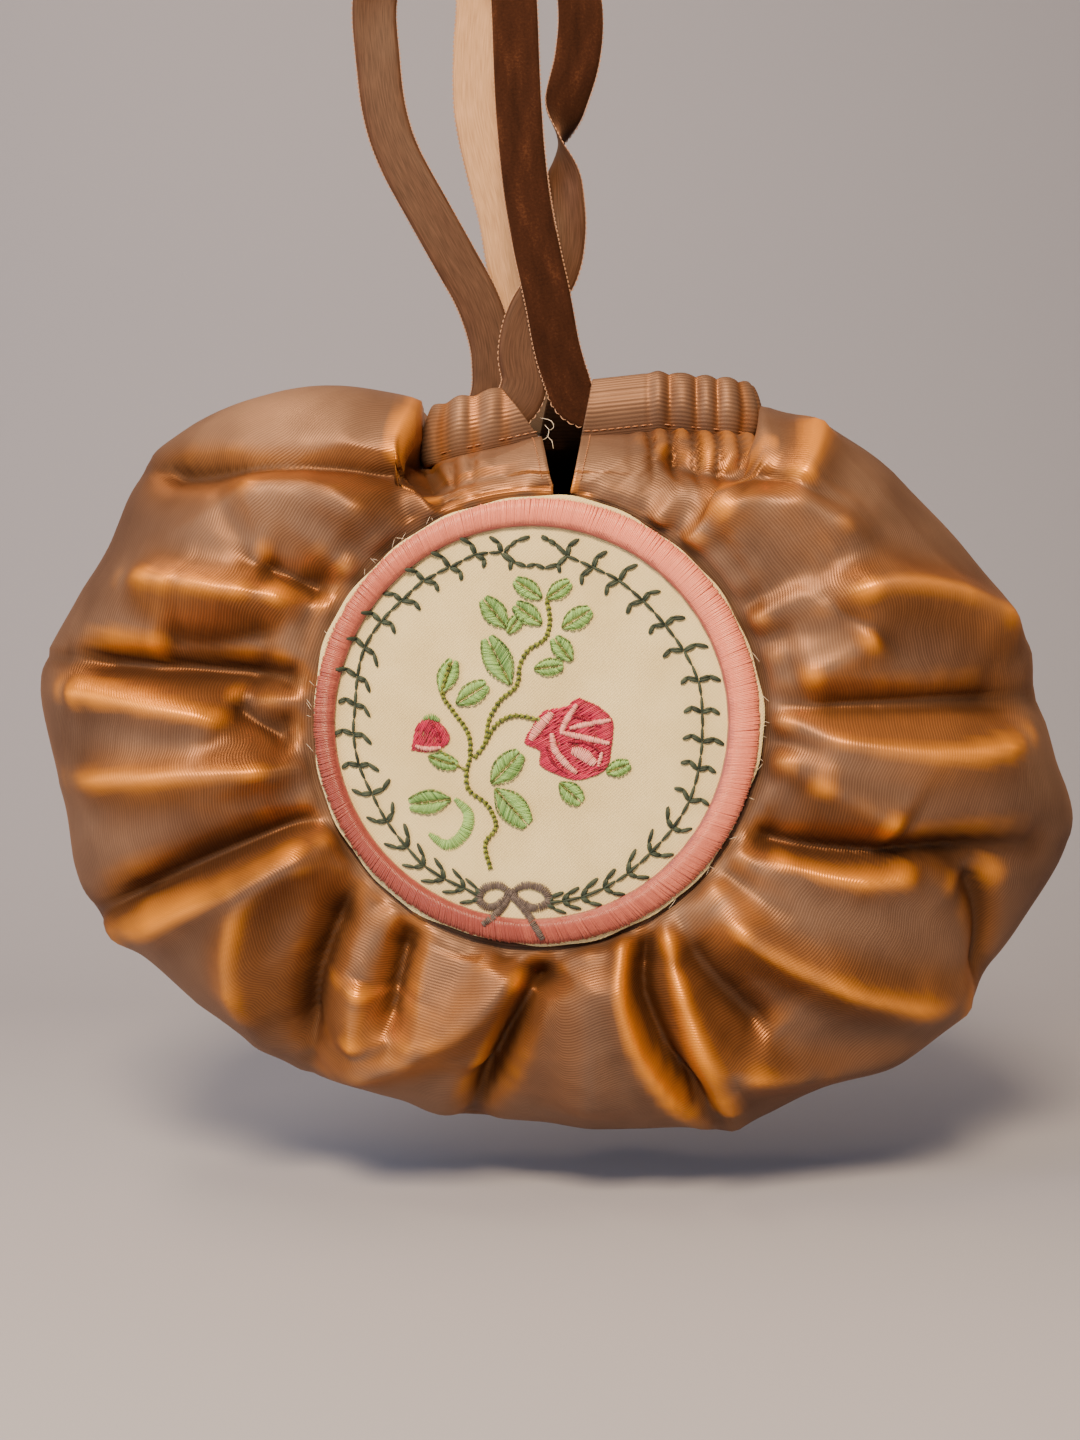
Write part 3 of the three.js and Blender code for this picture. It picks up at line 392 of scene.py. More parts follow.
def fold_rise(fold, x, z):
    """How far one fold lifts the cloth: a soft-topped crease along a line through three points."""
    start, middle, end = (on_plane(fold[2 * k], fold[2 * k + 1]) for k in range(3))
    pull = 2 * middle - (start + end) / 2
    share = np.linspace(0, 1, 17)[:, None]
    line = (1 - share)**2 * start + 2 * share * (1 - share) * pull + share**2 * end
    left, right, rise = fold[6:9]
    best = np.full(x.shape, 1e9)
    side = np.ones(x.shape)
    along = np.zeros(x.shape)
    for index in range(len(line) - 1):
        step = line[index + 1] - line[index]
        ox, oz = x - line[index][0], z - line[index][1]
        part = np.clip((ox * step[0] + oz * step[1]) / step.dot(step), 0, 1)
        away = np.hypot(ox - part * step[0], oz - part * step[1])
        near = away < best
        best = np.where(near, away, best)
        side = np.where(near, step[0] * oz - step[1] * ox, side)
        along = np.where(near, (index + part) / (len(line) - 1), along)
    width = REACH * np.where(side > 0, left, right)
    reach = best / width
    ends = ease(0, 0.2, along) * ease(0, 0.2, 1 - along)
    tip = FOLD_SPREAD["tip"]
    crisp = np.exp(-FOLD_SPREAD["crisp"] * (np.sqrt(reach**2 + tip) - math.sqrt(tip)))
    soft = np.exp(-reach**2)
    broad = np.exp(-(reach / FOLD_SPREAD["wide"])**2)
    profile = 0.5 * crisp + 0.4 * soft + FOLD_SPREAD["share"] * broad
    return rise * HALF_DEPTH * profile * mix(0.35, 1, ends)


def round_gathers(angle, out):
    """Short uneven gathers where the cloth is drawn in at the round."""
    turn = np.radians(angle)
    uneven = np.sin(31 * turn + 0.8) + 0.6 * np.sin(43 * turn + 2) + 0.4 * np.sin(19 * turn)
    return 1.2 * uneven * np.exp(-out / 0.19)


def small_creases(angle, out):
    """Crisp little waves that lean, wander and fade in patches, as they do in paper-stiff silk."""
    turn = np.radians(angle)
    total = 0.0
    for order, (count, lean, wander, rise) in enumerate(CREASES):
        drift = wander * np.sin(3 * out + 2 * turn + 1.7 * order) * np.sin(5 * turn - 2 * out + order)
        wave = 0.55 - np.abs(np.sin(0.5 * (count * turn + 2 * math.pi * lean * out + drift) + order))**0.8
        patch = 0.5 + 0.5 * np.sin(2 * turn * (1 + order % 3) + 4 * out + 2.3 * order)
        total = total + rise * wave * patch
    return total * ease(0.02, 0.3, out) * (1 - 0.5 * ease(0.8, 1, out))


def casing_gathers(x, angle, out):
    """Gathers that run down from the casings' rolls."""
    drawn = ease(15, 26, np.abs(x - SLIT["centre"])) * (1 - edge_at(angle)[2])
    roll = np.abs(np.cos(np.pi * (x - MOUTH["centre"]) / CASING["pitch"]))**0.7 - 0.55
    return np.where(x > 0, 1.9, 1.2) * roll * drawn * ease(0.2, 0.85, out)


def front_rise(x, z, angle, out):
    drawn = sum(fold_rise(fold, x, z) for fold in FOLDS)
    return drawn + round_gathers(angle, out) + casing_gathers(x, angle, out) + small_creases(angle, out)


def back_rise(x, z, angle, out):
    turn = np.radians(angle)
    waves = sum(rise * np.cos(count * turn + lean) for count, lean, rise in ROSETTE)
    arch = np.sin(np.pi * np.clip(out, 0, 1))**0.6
    return (HALF_DEPTH * waves * arch + round_gathers(angle, out) + casing_gathers(x, angle, out)
            + small_creases(-angle, out))


def cloth_places(side, column, row, rise_at, normal=None):
    """Places on a panel's outer face, for columns round it and rows from the round's edge to the rim."""
    point, angle, out = base_surface(side, column, row)
    if normal is None:
        ahead = base_surface(side, column, np.clip(row + 0.004, 0, 1))[0]
        aside = base_surface(side, column + 0.004, row)[0]
        normal = unit(np.cross(ahead - point, aside - point)) * side
    free = ease(0, 0.06, out) * (1 - ease(0.9, 1, row))
    lift = free * rise_at(point[..., 0], point[..., 2], angle, out)
    return point + normal * lift[..., None]


def cloth_grid(side, shares, rows, rise_at):
    """The outer face of one panel as a grid of places, with the edge that is tucked under the round."""
    column, row = np.meshgrid(shares, np.linspace(0, 1, rows + 1))
    point = base_surface(side, column, row)[0]
    normal = surface_normals(point) * side
    cloth = cloth_places(side, column, row, rise_at, normal)
    inner = ROUND_RADIUS - ROUND_TUCK
    turn = np.radians(column_angle(side, shares, 0.0))
    tuck = np.stack([inner * np.cos(turn), np.full(turn.shape, side * HALF_DEPTH), inner * np.sin(turn)], -1)
    return np.concatenate([tuck[None], cloth])


def panel_columns(right, rim, left):
    """Column places with so many steps under the right casing, round the rim and under the left one."""
    parts = [np.linspace(k, k + 1, count, endpoint=False) for k, count in enumerate((right, rim, left))]
    return np.append(np.concatenate(parts), 3.0)


# Helpers: meshes, nodes and materials

def mesh_piece(name, points, faces, materials, uv=None, face_slots=None, smooth=True, shape=None):
    """A named mesh object in the row's frame from points in millimetres."""
    mesh = bpy.data.meshes.new(name)
    mesh.from_pydata(hung(points).tolist(), [], faces)
    for material in materials:
        mesh.materials.append(material)
    if face_slots is not None:
        mesh.polygons.foreach_set("material_index", face_slots)
    mesh.polygons.foreach_set("use_smooth", [smooth] * len(mesh.polygons))
    if uv is not None:
        layer = mesh.uv_layers.new(name="cloth")
        corners = np.zeros(len(mesh.loops), np.int32)
        mesh.loops.foreach_get("vertex_index", corners)
        layer.data.foreach_set("uv", np.asarray(uv, np.float32)[corners].ravel())
    for key, values in (shape or {}).items():
        mesh.attributes.new(key, "FLOAT", "POINT").data.foreach_set("value", np.ravel(values))
    mesh.validate()
    return placed(name, mesh)


def placed(name, data):
    """An object of that name, put into the scene."""
    made = bpy.data.objects.new(name, data)
    bpy.context.scene.collection.objects.link(made)
    return made


def grid_faces(rows, columns, closed=False):
    """Quads of a grid whose points are listed row by row; closed joins the last column to the first."""
    across = columns if closed else columns - 1
    row, column = np.meshgrid(np.arange(rows - 1), np.arange(across), indexing="ij")
    nxt = (column + 1) % columns
    quads = np.stack([row * columns + column, row * columns + nxt,
                      (row + 1) * columns + nxt, (row + 1) * columns + column], -1)
    return quads.reshape(-1, 4).tolist()


class Nodes:
    """A few short words for building a tree of nodes."""

    def __init__(self, tree):
        self.tree = tree

    def node(self, kind, inputs=None, **settings):
        made = self.tree.nodes.new(kind)
        for key, value in settings.items():
            setattr(made, key, value)
        for key, value in (inputs or {}).items():
            if isinstance(value, bpy.types.NodeSocket):
                self.tree.links.new(value, made.inputs[key])
            else:
                made.inputs[key].default_value = value
        return made

    def maths(self, operation, first, second=0.0, third=0.0):
        return self.node("ShaderNodeMath", {0: first, 1: second, 2: third}, operation=operation).outputs[0]


class Shader(Nodes):
    """The nodes of one material."""

    def __init__(self, name, **values):
        self.material = bpy.data.materials.new(name)
        self.material.use_nodes = True
        super().__init__(self.material.node_tree)
        self.surface = self.tree.nodes["Principled BSDF"]
        for socket, value in values.items():
            self.surface.inputs[socket.replace("_", " ")].default_value = value

    def attribute(self, name):
        return self.node("ShaderNodeAttribute", attribute_name=name).outputs["Fac"]

    def blend(self, share, first, second):
        """Colour between two colours, each a socket or a plain value."""
        made = self.node("ShaderNodeMix", {"Factor": share, 6: first, 7: second}, data_type="RGBA")
        return made.outputs[2]

    def scaled(self, place, scale):
        return self.node("ShaderNodeMapping", {"Vector": place, "Scale": scale}).outputs[0]

    def uv(self, scale=(1, 1, 1)):
        """The piece's own UV map, in millimetres, stretched by scale."""
        return self.scaled(self.node("ShaderNodeUVMap", uv_map="cloth").outputs[0], scale)

    def local(self, scale=(1, 1, 1)):
        return self.scaled(self.node("ShaderNodeTexCoord").outputs["Object"], scale)

    def noise(self, vector, scale=1.0, detail=2.0, rough=0.5):
        return self.node("ShaderNodeTexNoise", {"Vector": vector, "Scale": scale, "Detail": detail,
                                                "Roughness": rough}).outputs[0]

    def ramp(self, factor, stops):
        made = self.node("ShaderNodeValToRGB", {0: factor})
        elements = made.color_ramp.elements
        while len(elements) < len(stops):
            elements.new(0.5)
        for element, (place, colour) in zip(elements, stops):
            element.position = place
            element.color = (*colour, 1)
        return made.outputs[0]

    def link(self, output, socket):
        self.tree.links.new(output, self.surface.inputs[socket])

    def bump(self, height, distance, strength=1.0):
        made = self.node("ShaderNodeBump", {"Height": height, "Distance": distance, "Strength": strength})
        self.link(made.outputs[0], "Normal")


# Materials

def taffeta():
    """Shot taffeta: greyish brown where it lies flat; its real orange weft is painted in where the cloth turns
    away, as a painted shot sheen, with painted shade in the valleys and painted highlights on the ridges.
    """
    look = Shader("shot_taffeta", Anisotropic=0.4, Specular_IOR_Level=0.25, Specular_Tint=(1, 0.45, 0.14, 1),
                  Sheen_Weight=0.05, Sheen_Roughness=0.35, Sheen_Tint=(1, 0.5, 0.22, 1))
    streak = look.noise(look.uv((0.02, 1.1, 1)), 1.3, 3, 0.6)
    cloud = look.noise(look.local(), 24, 3)
    across = look.node("ShaderNodeSeparateXYZ", {0: look.uv()}).outputs[1]
    rib = look.maths("SINE", look.maths("MULTIPLY", across, 2 * math.pi / RIB_PITCH))
    blend = look.maths("MULTIPLY_ADD", cloud, 0.85, look.maths("MULTIPLY", streak, 0.15))
    woven = look.maths("MULTIPLY_ADD", rib, 0.08, blend)
    flat = look.ramp(woven, [(0.3, (0.092, 0.056, 0.042)), (0.5, (0.155, 0.098, 0.072)),
                             (0.7, (0.225, 0.150, 0.110))])
    # Painted sheen: an orange copy of the cloth for the flanks that turn away.
    turned = look.ramp(woven, [(0.3, (0.115, 0.050, 0.022)), (0.5, (0.215, 0.092, 0.036)),
                               (0.7, (0.38, 0.16, 0.050))])
    patches = look.maths("MULTIPLY", cloud, 0.15)
    share = look.maths("MINIMUM", look.maths("MULTIPLY_ADD", look.attribute("steep"), 1.3, patches), 1.0)
    painted_shade, painted_highlight = (look.maths("MULTIPLY", look.attribute(name), 0.85) for name in ("painted_shade", "painted_highlight"))
    # Painted shade darkens the valleys to a near-black brown; painted highlights lay bright orange lines along
    # the ridges.
    deep = look.blend(painted_shade, look.blend(share, flat, turned), (0.045, 0.021, 0.011, 1))
    look.link(look.blend(painted_highlight, deep, (1.0, 0.37, 0.02, 1)), "Base Color")
    look.link(look.maths("MULTIPLY_ADD", share, 0.2, 0.28), "Metallic")
    look.link(look.maths("MULTIPLY_ADD", share, -0.12, 0.47), "Roughness")
    slub = look.noise(look.uv((0.12, 2.2, 1)), 1, 3)
    look.bump(look.maths("MULTIPLY_ADD", rib, 0.5, look.maths("MULTIPLY", slub, 0.5)), 0.0001, 0.45)
    return look.material


def plain(name, colour, **values):
    look = Shader(name, Base_Color=(*colour, 1), **values)
    return look.material


def velvet():
    look = Shader("ribbon_velvet", Roughness=0.95, Sheen_Weight=0.35, Sheen_Roughness=0.4,
                  Sheen_Tint=(0.75, 0.42, 0.28, 1), Specular_IOR_Level=0.1)
    pile = look.noise(look.uv(), 1.4, 5, 0.65)
    # Painted sheen: lighter streaks along the ribbon where light catches the pile.
    pile_sheen = look.noise(look.uv((0.25, 0.06, 1)), 1, 3)
    tone = look.maths("MULTIPLY_ADD", pile_sheen, 0.5, look.maths("MULTIPLY", pile, 0.5))
    look.link(look.ramp(tone, [(0.3, (0.014, 0.005, 0.0025)), (0.55, (0.034, 0.012, 0.006)),
                               (0.8, (0.11, 0.042, 0.02))]), "Base Color")
    look.bump(pile, 0.0003, 0.6)
    return look.material


def ribbon_satin(name, dark, light):
    look = Shader(name, Roughness=0.5, Anisotropic=0.5, Sheen_Weight=0.03, Sheen_Tint=(1, 0.7, 0.5, 1),
                  Specular_IOR_Level=0.12)
    grain = look.noise(look.uv((2.5, 0.15, 1)), 1, 3)
    look.link(look.ramp(grain, [(0.3, dark), (0.7, light)]), "Base Color")
    look.bump(grain, 0.0001, 0.4)
    return look.material


def cream_cloth():
    look = Shader("cream_cloth", Roughness=0.92, Sheen_Weight=0.2)
    place = look.node("ShaderNodeSeparateXYZ", {0: look.local()})
    warp, weft = (look.maths("SINE", look.maths("MULTIPLY", place.outputs[k], 2 * math.pi / CREAM_THREAD))
                  for k in (0, 2))
    weave = look.maths("MULTIPLY", warp, weft)
    slub = look.noise(look.local((1, 1, 0.12)), 900, 2)
    tone = look.maths("MULTIPLY_ADD", weave, 0.12, look.noise(look.local(), 60, 3))
    look.link(look.ramp(tone, [(0.3, (0.66, 0.56, 0.28)), (0.7, (0.78, 0.68, 0.37))]), "Base Color")
    look.bump(look.maths("MULTIPLY_ADD", slub, 0.8, weave), 0.00012, 0.5)
    return look.material


def thread_look(name, dark, light, shine=0.35):
    look = Shader(name, Roughness=shine, Anisotropic=0.4, Sheen_Weight=0.06, Specular_IOR_Level=0.4)
    fibre = look.noise(look.local(), 1800, 2)
    tone = look.maths("MULTIPLY_ADD", fibre, 0.3, look.attribute("tone"))
    look.link(look.ramp(tone, [(0.1, dark), (1.0, light)]), "Base Color")
    look.bump(fibre, 0.00008, 0.4)
    return look.material


# Pieces

def finish_piece(piece, slot, *nodes):
    """Makes a piece ride and hides the solids that it takes the place of; the slot is not used."""
    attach(piece, "root")
    if nodes:
        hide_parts(*nodes)
    return piece


def thicken(piece, thickness):
    """Turns a single face of cloth into a wall, with the second material on its hidden side."""
    wall = piece.modifiers.new("wall", "SOLIDIFY")
    wall.thickness = thickness / 1000
    wall.offset = -1
    wall.material_offset = 1
    wall.material_offset_rim = 0


def averaged(values, reach):
    """Each value of a grid averaged with its neighbours."""
    for axis in (0, 1):
        values = sum(np.roll(values, shift, axis) for shift in range(-reach, reach + 1)) / (2 * reach + 1)
    return values


def fold_shape(grid, side, shares, rows):
    """How far each place turns away from the smooth shape, lies below it, or stands out as a ridge: masks for
    the painted orange sheen on flanks that turn away, painted shade in the valleys and inside the mouth, and
    painted highlights along the ridges.
    """
    column, row = np.meshgrid(shares, np.linspace(0, 1, rows + 1))
    base = base_surface(side, column, row)[0]
    smooth = surface_normals(base)
    turned = 1 - np.abs((surface_normals(grid[1:]) * smooth).sum(-1))
    below = ((base - grid[1:]) * smooth).sum(-1) * side
    last_edge = edge_at(column_angle(side, column, 1.0))[2]
    inside_mouth = (1 - last_edge) * (row > 0.97) * (side > 0)
    ridge = averaged(averaged(below, 2) - below, 1)
    # Painted shade: darker where the cloth lies below the smooth shape, in narrow creases, and along the back
    # panel's top edge inside the mouth.
    valley = np.clip((below - 1.5) / 12, 0, 0.4) + np.clip(-ridge / 0.8, 0, 0.5)
    # Painted highlight: thin bright lines along the ridges.
    line = np.clip((ridge - averaged(np.maximum(ridge, 0), 3) - 0.12) / 0.25, 0, 1)
    shape = {"steep": np.clip(3.2 * turned, 0, 1), "painted_shade": np.clip(valley + inside_mouth, 0, 1),
             "painted_highlight": averaged(line, 1) * ease(0, 0.08, row)}
    return {key: np.concatenate([value[:1], value]) for key, value in shape.items()}


def cloth_panel(name, side, rise_at, node, looks):
    *columns, rows = PANEL_GRID[side]
    shares = panel_columns(*columns)
    grid = cloth_grid(side, shares, rows, rise_at)
    turn = -np.radians(column_angle(side, shares, 1.0))[None, :] * WEAVE_RADIUS
    uv = paired(turn, way_along(grid), grid.shape[:2])
    faces = grid_faces(rows + 2, len(shares))
    if side > 0:
        faces = [face[::-1] for face in faces]
    shape = fold_shape(grid, side, shares, rows)
    piece = mesh_piece(name, grid.reshape(-1, 3), faces, looks, uv, shape=shape)
    thicken(piece, WALL)
    finish_piece(piece, "taffeta", node)


def mouth_loop(side, distance):
    """Places and outward directions along the mouth's middle line, from the middle of the front."""
    straight = MOUTH["half_width"] - MOUTH["half_depth"]
    bend = math.pi * MOUTH["half_depth"]
    turn = np.clip((distance - straight) / MOUTH["half_depth"], 0, math.pi)
    ahead = np.minimum(distance, straight) - np.maximum(distance - straight - bend, 0)
    out_x, out_y = side * np.sin(turn), -np.cos(turn)
    x = MOUTH["centre"] + side * ahead + MOUTH["half_depth"] * out_x
    return x, MOUTH["half_depth"] * out_y, out_x, out_y


def casing_ends(side):
    """Where a casing starts and ends along the mouth's middle line: at the front and the back slit."""
    edge = side * (SLIT["centre"] + side * SLIT["at_casing"] / 2 - MOUTH["centre"])
    half_loop = 2 * (MOUTH["half_width"] - MOUTH["half_depth"]) + math.pi * MOUTH["half_depth"]
    return edge, half_loop - edge - side * SLIT["back_shift"]


def casing(hand, side, slant, flat, pitch, sharp, stations, looks):
    """A gathered tunnel from the front slit round the mouth's end to the back slit.

    slant is how far its top end leans, flat how much of each end is smooth, and sharp how narrow the rolls'
    valleys are.
    """
    first, last = casing_ends(side)
    around = np.linspace(0, 2 * math.pi, 40, endpoint=False)
    share = (0.5 - 0.5 * np.cos(around))[None, :]
    plump = 0.5 + (CASING["thickness"] / 2 - 0.5) * np.sin(math.pi * np.clip(share, 0, 1)**0.8)**0.7
    across = np.sign(np.sin(around)) * np.abs(np.sin(around))**0.35 * plump
    station = np.linspace(0, 1, stations)[:, None]
    distance = mix(first + slant * share, last - slant * share, station)
    x, y, out_x, out_y = mouth_loop(side, distance)
    drawn = ease(flat, flat + 7, np.minimum(distance - first, last - distance))
    along = distance - first - flat
    uneven = 0.9 * np.sin(along / 7.3 + side) + 0.5 * np.sin(along / 3.1)
    roll = np.abs(np.cos(math.pi * (along + uneven) / pitch))**sharp
    lift = np.maximum(2.1 * roll - 1.1, -0.5) * drawn * (1 if side > 0 else 0.7)
    lift = lift * np.where(across > 0, 1, -0.35) * np.sin(math.pi * share)**0.35
    crown = (1.1 * roll - 0.6) * drawn * share**2
    line = 0.5 * np.exp(-((share - 0.72) / 0.03)**2) * (across > 0) * (1 - drawn)
    flare = 2.4 * np.clip(1 - 1.3 * share, 0, 1) * np.abs(out_x)**4 * (across > 0) * (side < 0)
    reach = across + lift + flare - line
    foot = mouth_foot(x) - CASING["overlap"]
    point = np.stack([x + out_x * reach, y + out_y * reach,
                      foot + CASING["height"] * share * CASING["fullness"] + crown], -1)
    uv = paired(distance * (1 + 0.8 * drawn), around * CASING["wrap"], distance.shape)
    faces = grid_faces(stations, len(around), closed=True)
    if side > 0:
        faces = [face[::-1] for face in faces]
    # Painted sheen on the rolls' flanks, and painted shade on the side that faces into the mouth.
    turned = np.clip(1 - np.abs(2 * ((along + uneven) / pitch % 1) - 1) * 1.6, 0, 1)
    inside = np.broadcast_to((across < 0.3) & (share < 0.93), distance.shape)
    shape = {"steep": 0.6 * turned * drawn, "painted_shade": inside * 1.0}
    piece = mesh_piece(hand + "_hem", point.reshape(-1, 3), faces, looks, uv, shape=shape)
    thicken(piece, HEM_WALL)
    return finish_piece(piece, "taffeta", hand + "_casing")


def smooth_path(points, step):
    """A Catmull-Rom line through the points, sampled about every step millimetres, and each place's knot."""
    points = np.asarray(points, float)
    padded = np.concatenate([[2 * points[0] - points[1]], points, [2 * points[-1] - points[-2]]])
    line, knots = [], []
    for index in range(len(points) - 1):
        p0, p1, p2, p3 = padded[index:index + 4]
        count = max(1, int(np.linalg.norm(p2 - p1) / step))
        t = (np.arange(count) / count)[:, None]
        line.append(0.5 * (2 * p1 + (p2 - p0) * t + (2 * p0 - 5 * p1 + 4 * p2 - p3) * t**2
                           + (3 * p1 - p0 - 3 * p2 + p3) * t**3))
        knots.append(index + t[:, 0])
    line.append(points[-1:])
    knots.append([len(points) - 1.0])
    return np.concatenate(line), np.concatenate(knots)


def ribbon_frames(route):
    """A ribbon's centreline with its facing and its sideways direction at each place."""
    rows = np.array(route, float)
    line, knots = smooth_path(rows[:, :3], 1.6)
    facing = np.stack([np.interp(knots, np.arange(len(rows)), rows[:, 3 + k]) for k in range(3)], -1)
    tangent = unit(np.gradient(line, axis=0))
    facing = unit(facing - (facing * tangent).sum(-1, keepdims=True) * tangent)
    return line, facing, np.cross(tangent, facing)


def ribbon(name, route, node, looks):
    """A flat ribbon with velvet on its facing side and satin behind."""
    line, facing, sideways = ribbon_frames(route)
    half, thin = RIBBON["width"] / 2, RIBBON["thickness"] / 2
    face = np.linspace(-1, 1, 13)
    across = np.concatenate([face, -face])
    lift = np.repeat([1.0, -1.0], len(face)) * (1 - 0.75 * np.abs(across)**6)
    along = way_along(line)
    wave = 0.35 * np.sin(along / 11.0)[:, None] * across[None, :]**2
    point = (line[:, None] + sideways[:, None] * (across * half)[None, :, None]
             + facing[:, None] * (lift[None, :] * thin + wave)[..., None])
    uv = paired(across * half, along[:, None], point.shape[:2])
    count = len(across)
    faces = grid_faces(len(line), count, closed=True)
    slots = [0 if (index % count) < len(face) else 1 for index in range(len(faces))]
    faces += [list(range(count))[::-1], [(len(line) - 1) * count + k for k in range(count)]]
    slots += [0, 0]
    piece = mesh_piece(name, point.reshape(-1, 3), faces, looks, uv, slots)
    finish_piece(piece, "velvet_ribbon", node)
    return piece


# Thread work

def thread_tree():
    """Geometry nodes that turn every chain of loose edges into a plump thread that arches off the cloth."""
    tree = bpy.data.node_groups.new("threads", "GeometryNodeTree")
    work = Nodes(tree)
    for name, kind in (("Geometry", "Geometry"), ("Points", "Int"), ("Sides", "Int"), ("Thread", "Material")):
        tree.interface.new_socket(name, in_out="INPUT", socket_type="NodeSocket" + kind)
    tree.interface.new_socket("Geometry", in_out="OUTPUT", socket_type="NodeSocketGeometry")

    def step(kind, inputs=None, **settings):
        return work.node("GeometryNode" + kind, inputs, **settings).outputs[0]

    def named(name):
        return step("InputNamedAttribute", {"Name": name}, data_type="FLOAT")

    given = work.node("NodeGroupInput").outputs
    lines = step("MeshToCurve", {0: given["Geometry"]})
    fine = step("ResampleCurve", {"Curve": lines, "Count": given["Points"]})
    factor = work.node("GeometryNodeSplineParameter").outputs["Factor"]
    arch = work.maths("SINE", work.maths("MULTIPLY", factor, math.pi))
    height = work.maths("MULTIPLY", arch, named("arch"))
    offset = work.node("ShaderNodeCombineXYZ", {"Y": work.maths("MULTIPLY", height, -MM)}).outputs[0]
    arched = step("SetPosition", {"Geometry": fine, "Offset": offset})
    plump = work.maths("ADD", work.maths("MULTIPLY", work.maths("POWER", arch, 0.5), 0.5), 0.5)
    radius = work.maths("MULTIPLY", work.maths("MULTIPLY", named("thick"), plump), MM / 2)
    circle = step("CurvePrimitiveCircle", {"Resolution": given["Sides"], "Radius": 1.0})
    tube = step("CurveToMesh", {"Curve": arched, "Profile Curve": circle, "Scale": radius, "Fill Caps": True})
    real = step("RealizeInstances", {0: tube})
    coloured = step("SetMaterial", {"Geometry": real, "Material": given["Thread"]})
    work.node("NodeGroupOutput", {0: coloured})
    return tree


def border_inside(turn):
    """The border's inner edge: a circle a little off the round's centre."""
    return round_circle(BORDER["inner"], turn) + (BORDER["shift_x"], BORDER["shift_z"])


def padding_rise(share):
    """How high the border's padding stands, at a share of the way across it."""
    return BORDER["rise"] * (1 - abs(2 * share - 1)**4)**0.6


def border_rise(x, z):
    """How far the satin border stands off the round's face at a place."""
    turn = math.atan2(z, x)
    inner = math.hypot(*border_inside(turn))
    share = (math.hypot(x, z) - inner) / (BORDER["outer"] - inner)
    return padding_rise(share) if 0 < share < 1 else 0.0


def leaf_lines(base, tip):
    """A leaf's base and length, and the directions along and across it."""
    base, tip = np.array(base, float), np.array(tip, float)
    length = np.linalg.norm(tip - base)
    along = (tip - base) / length
    return base, length, along, np.array([-along[1], along[0]])


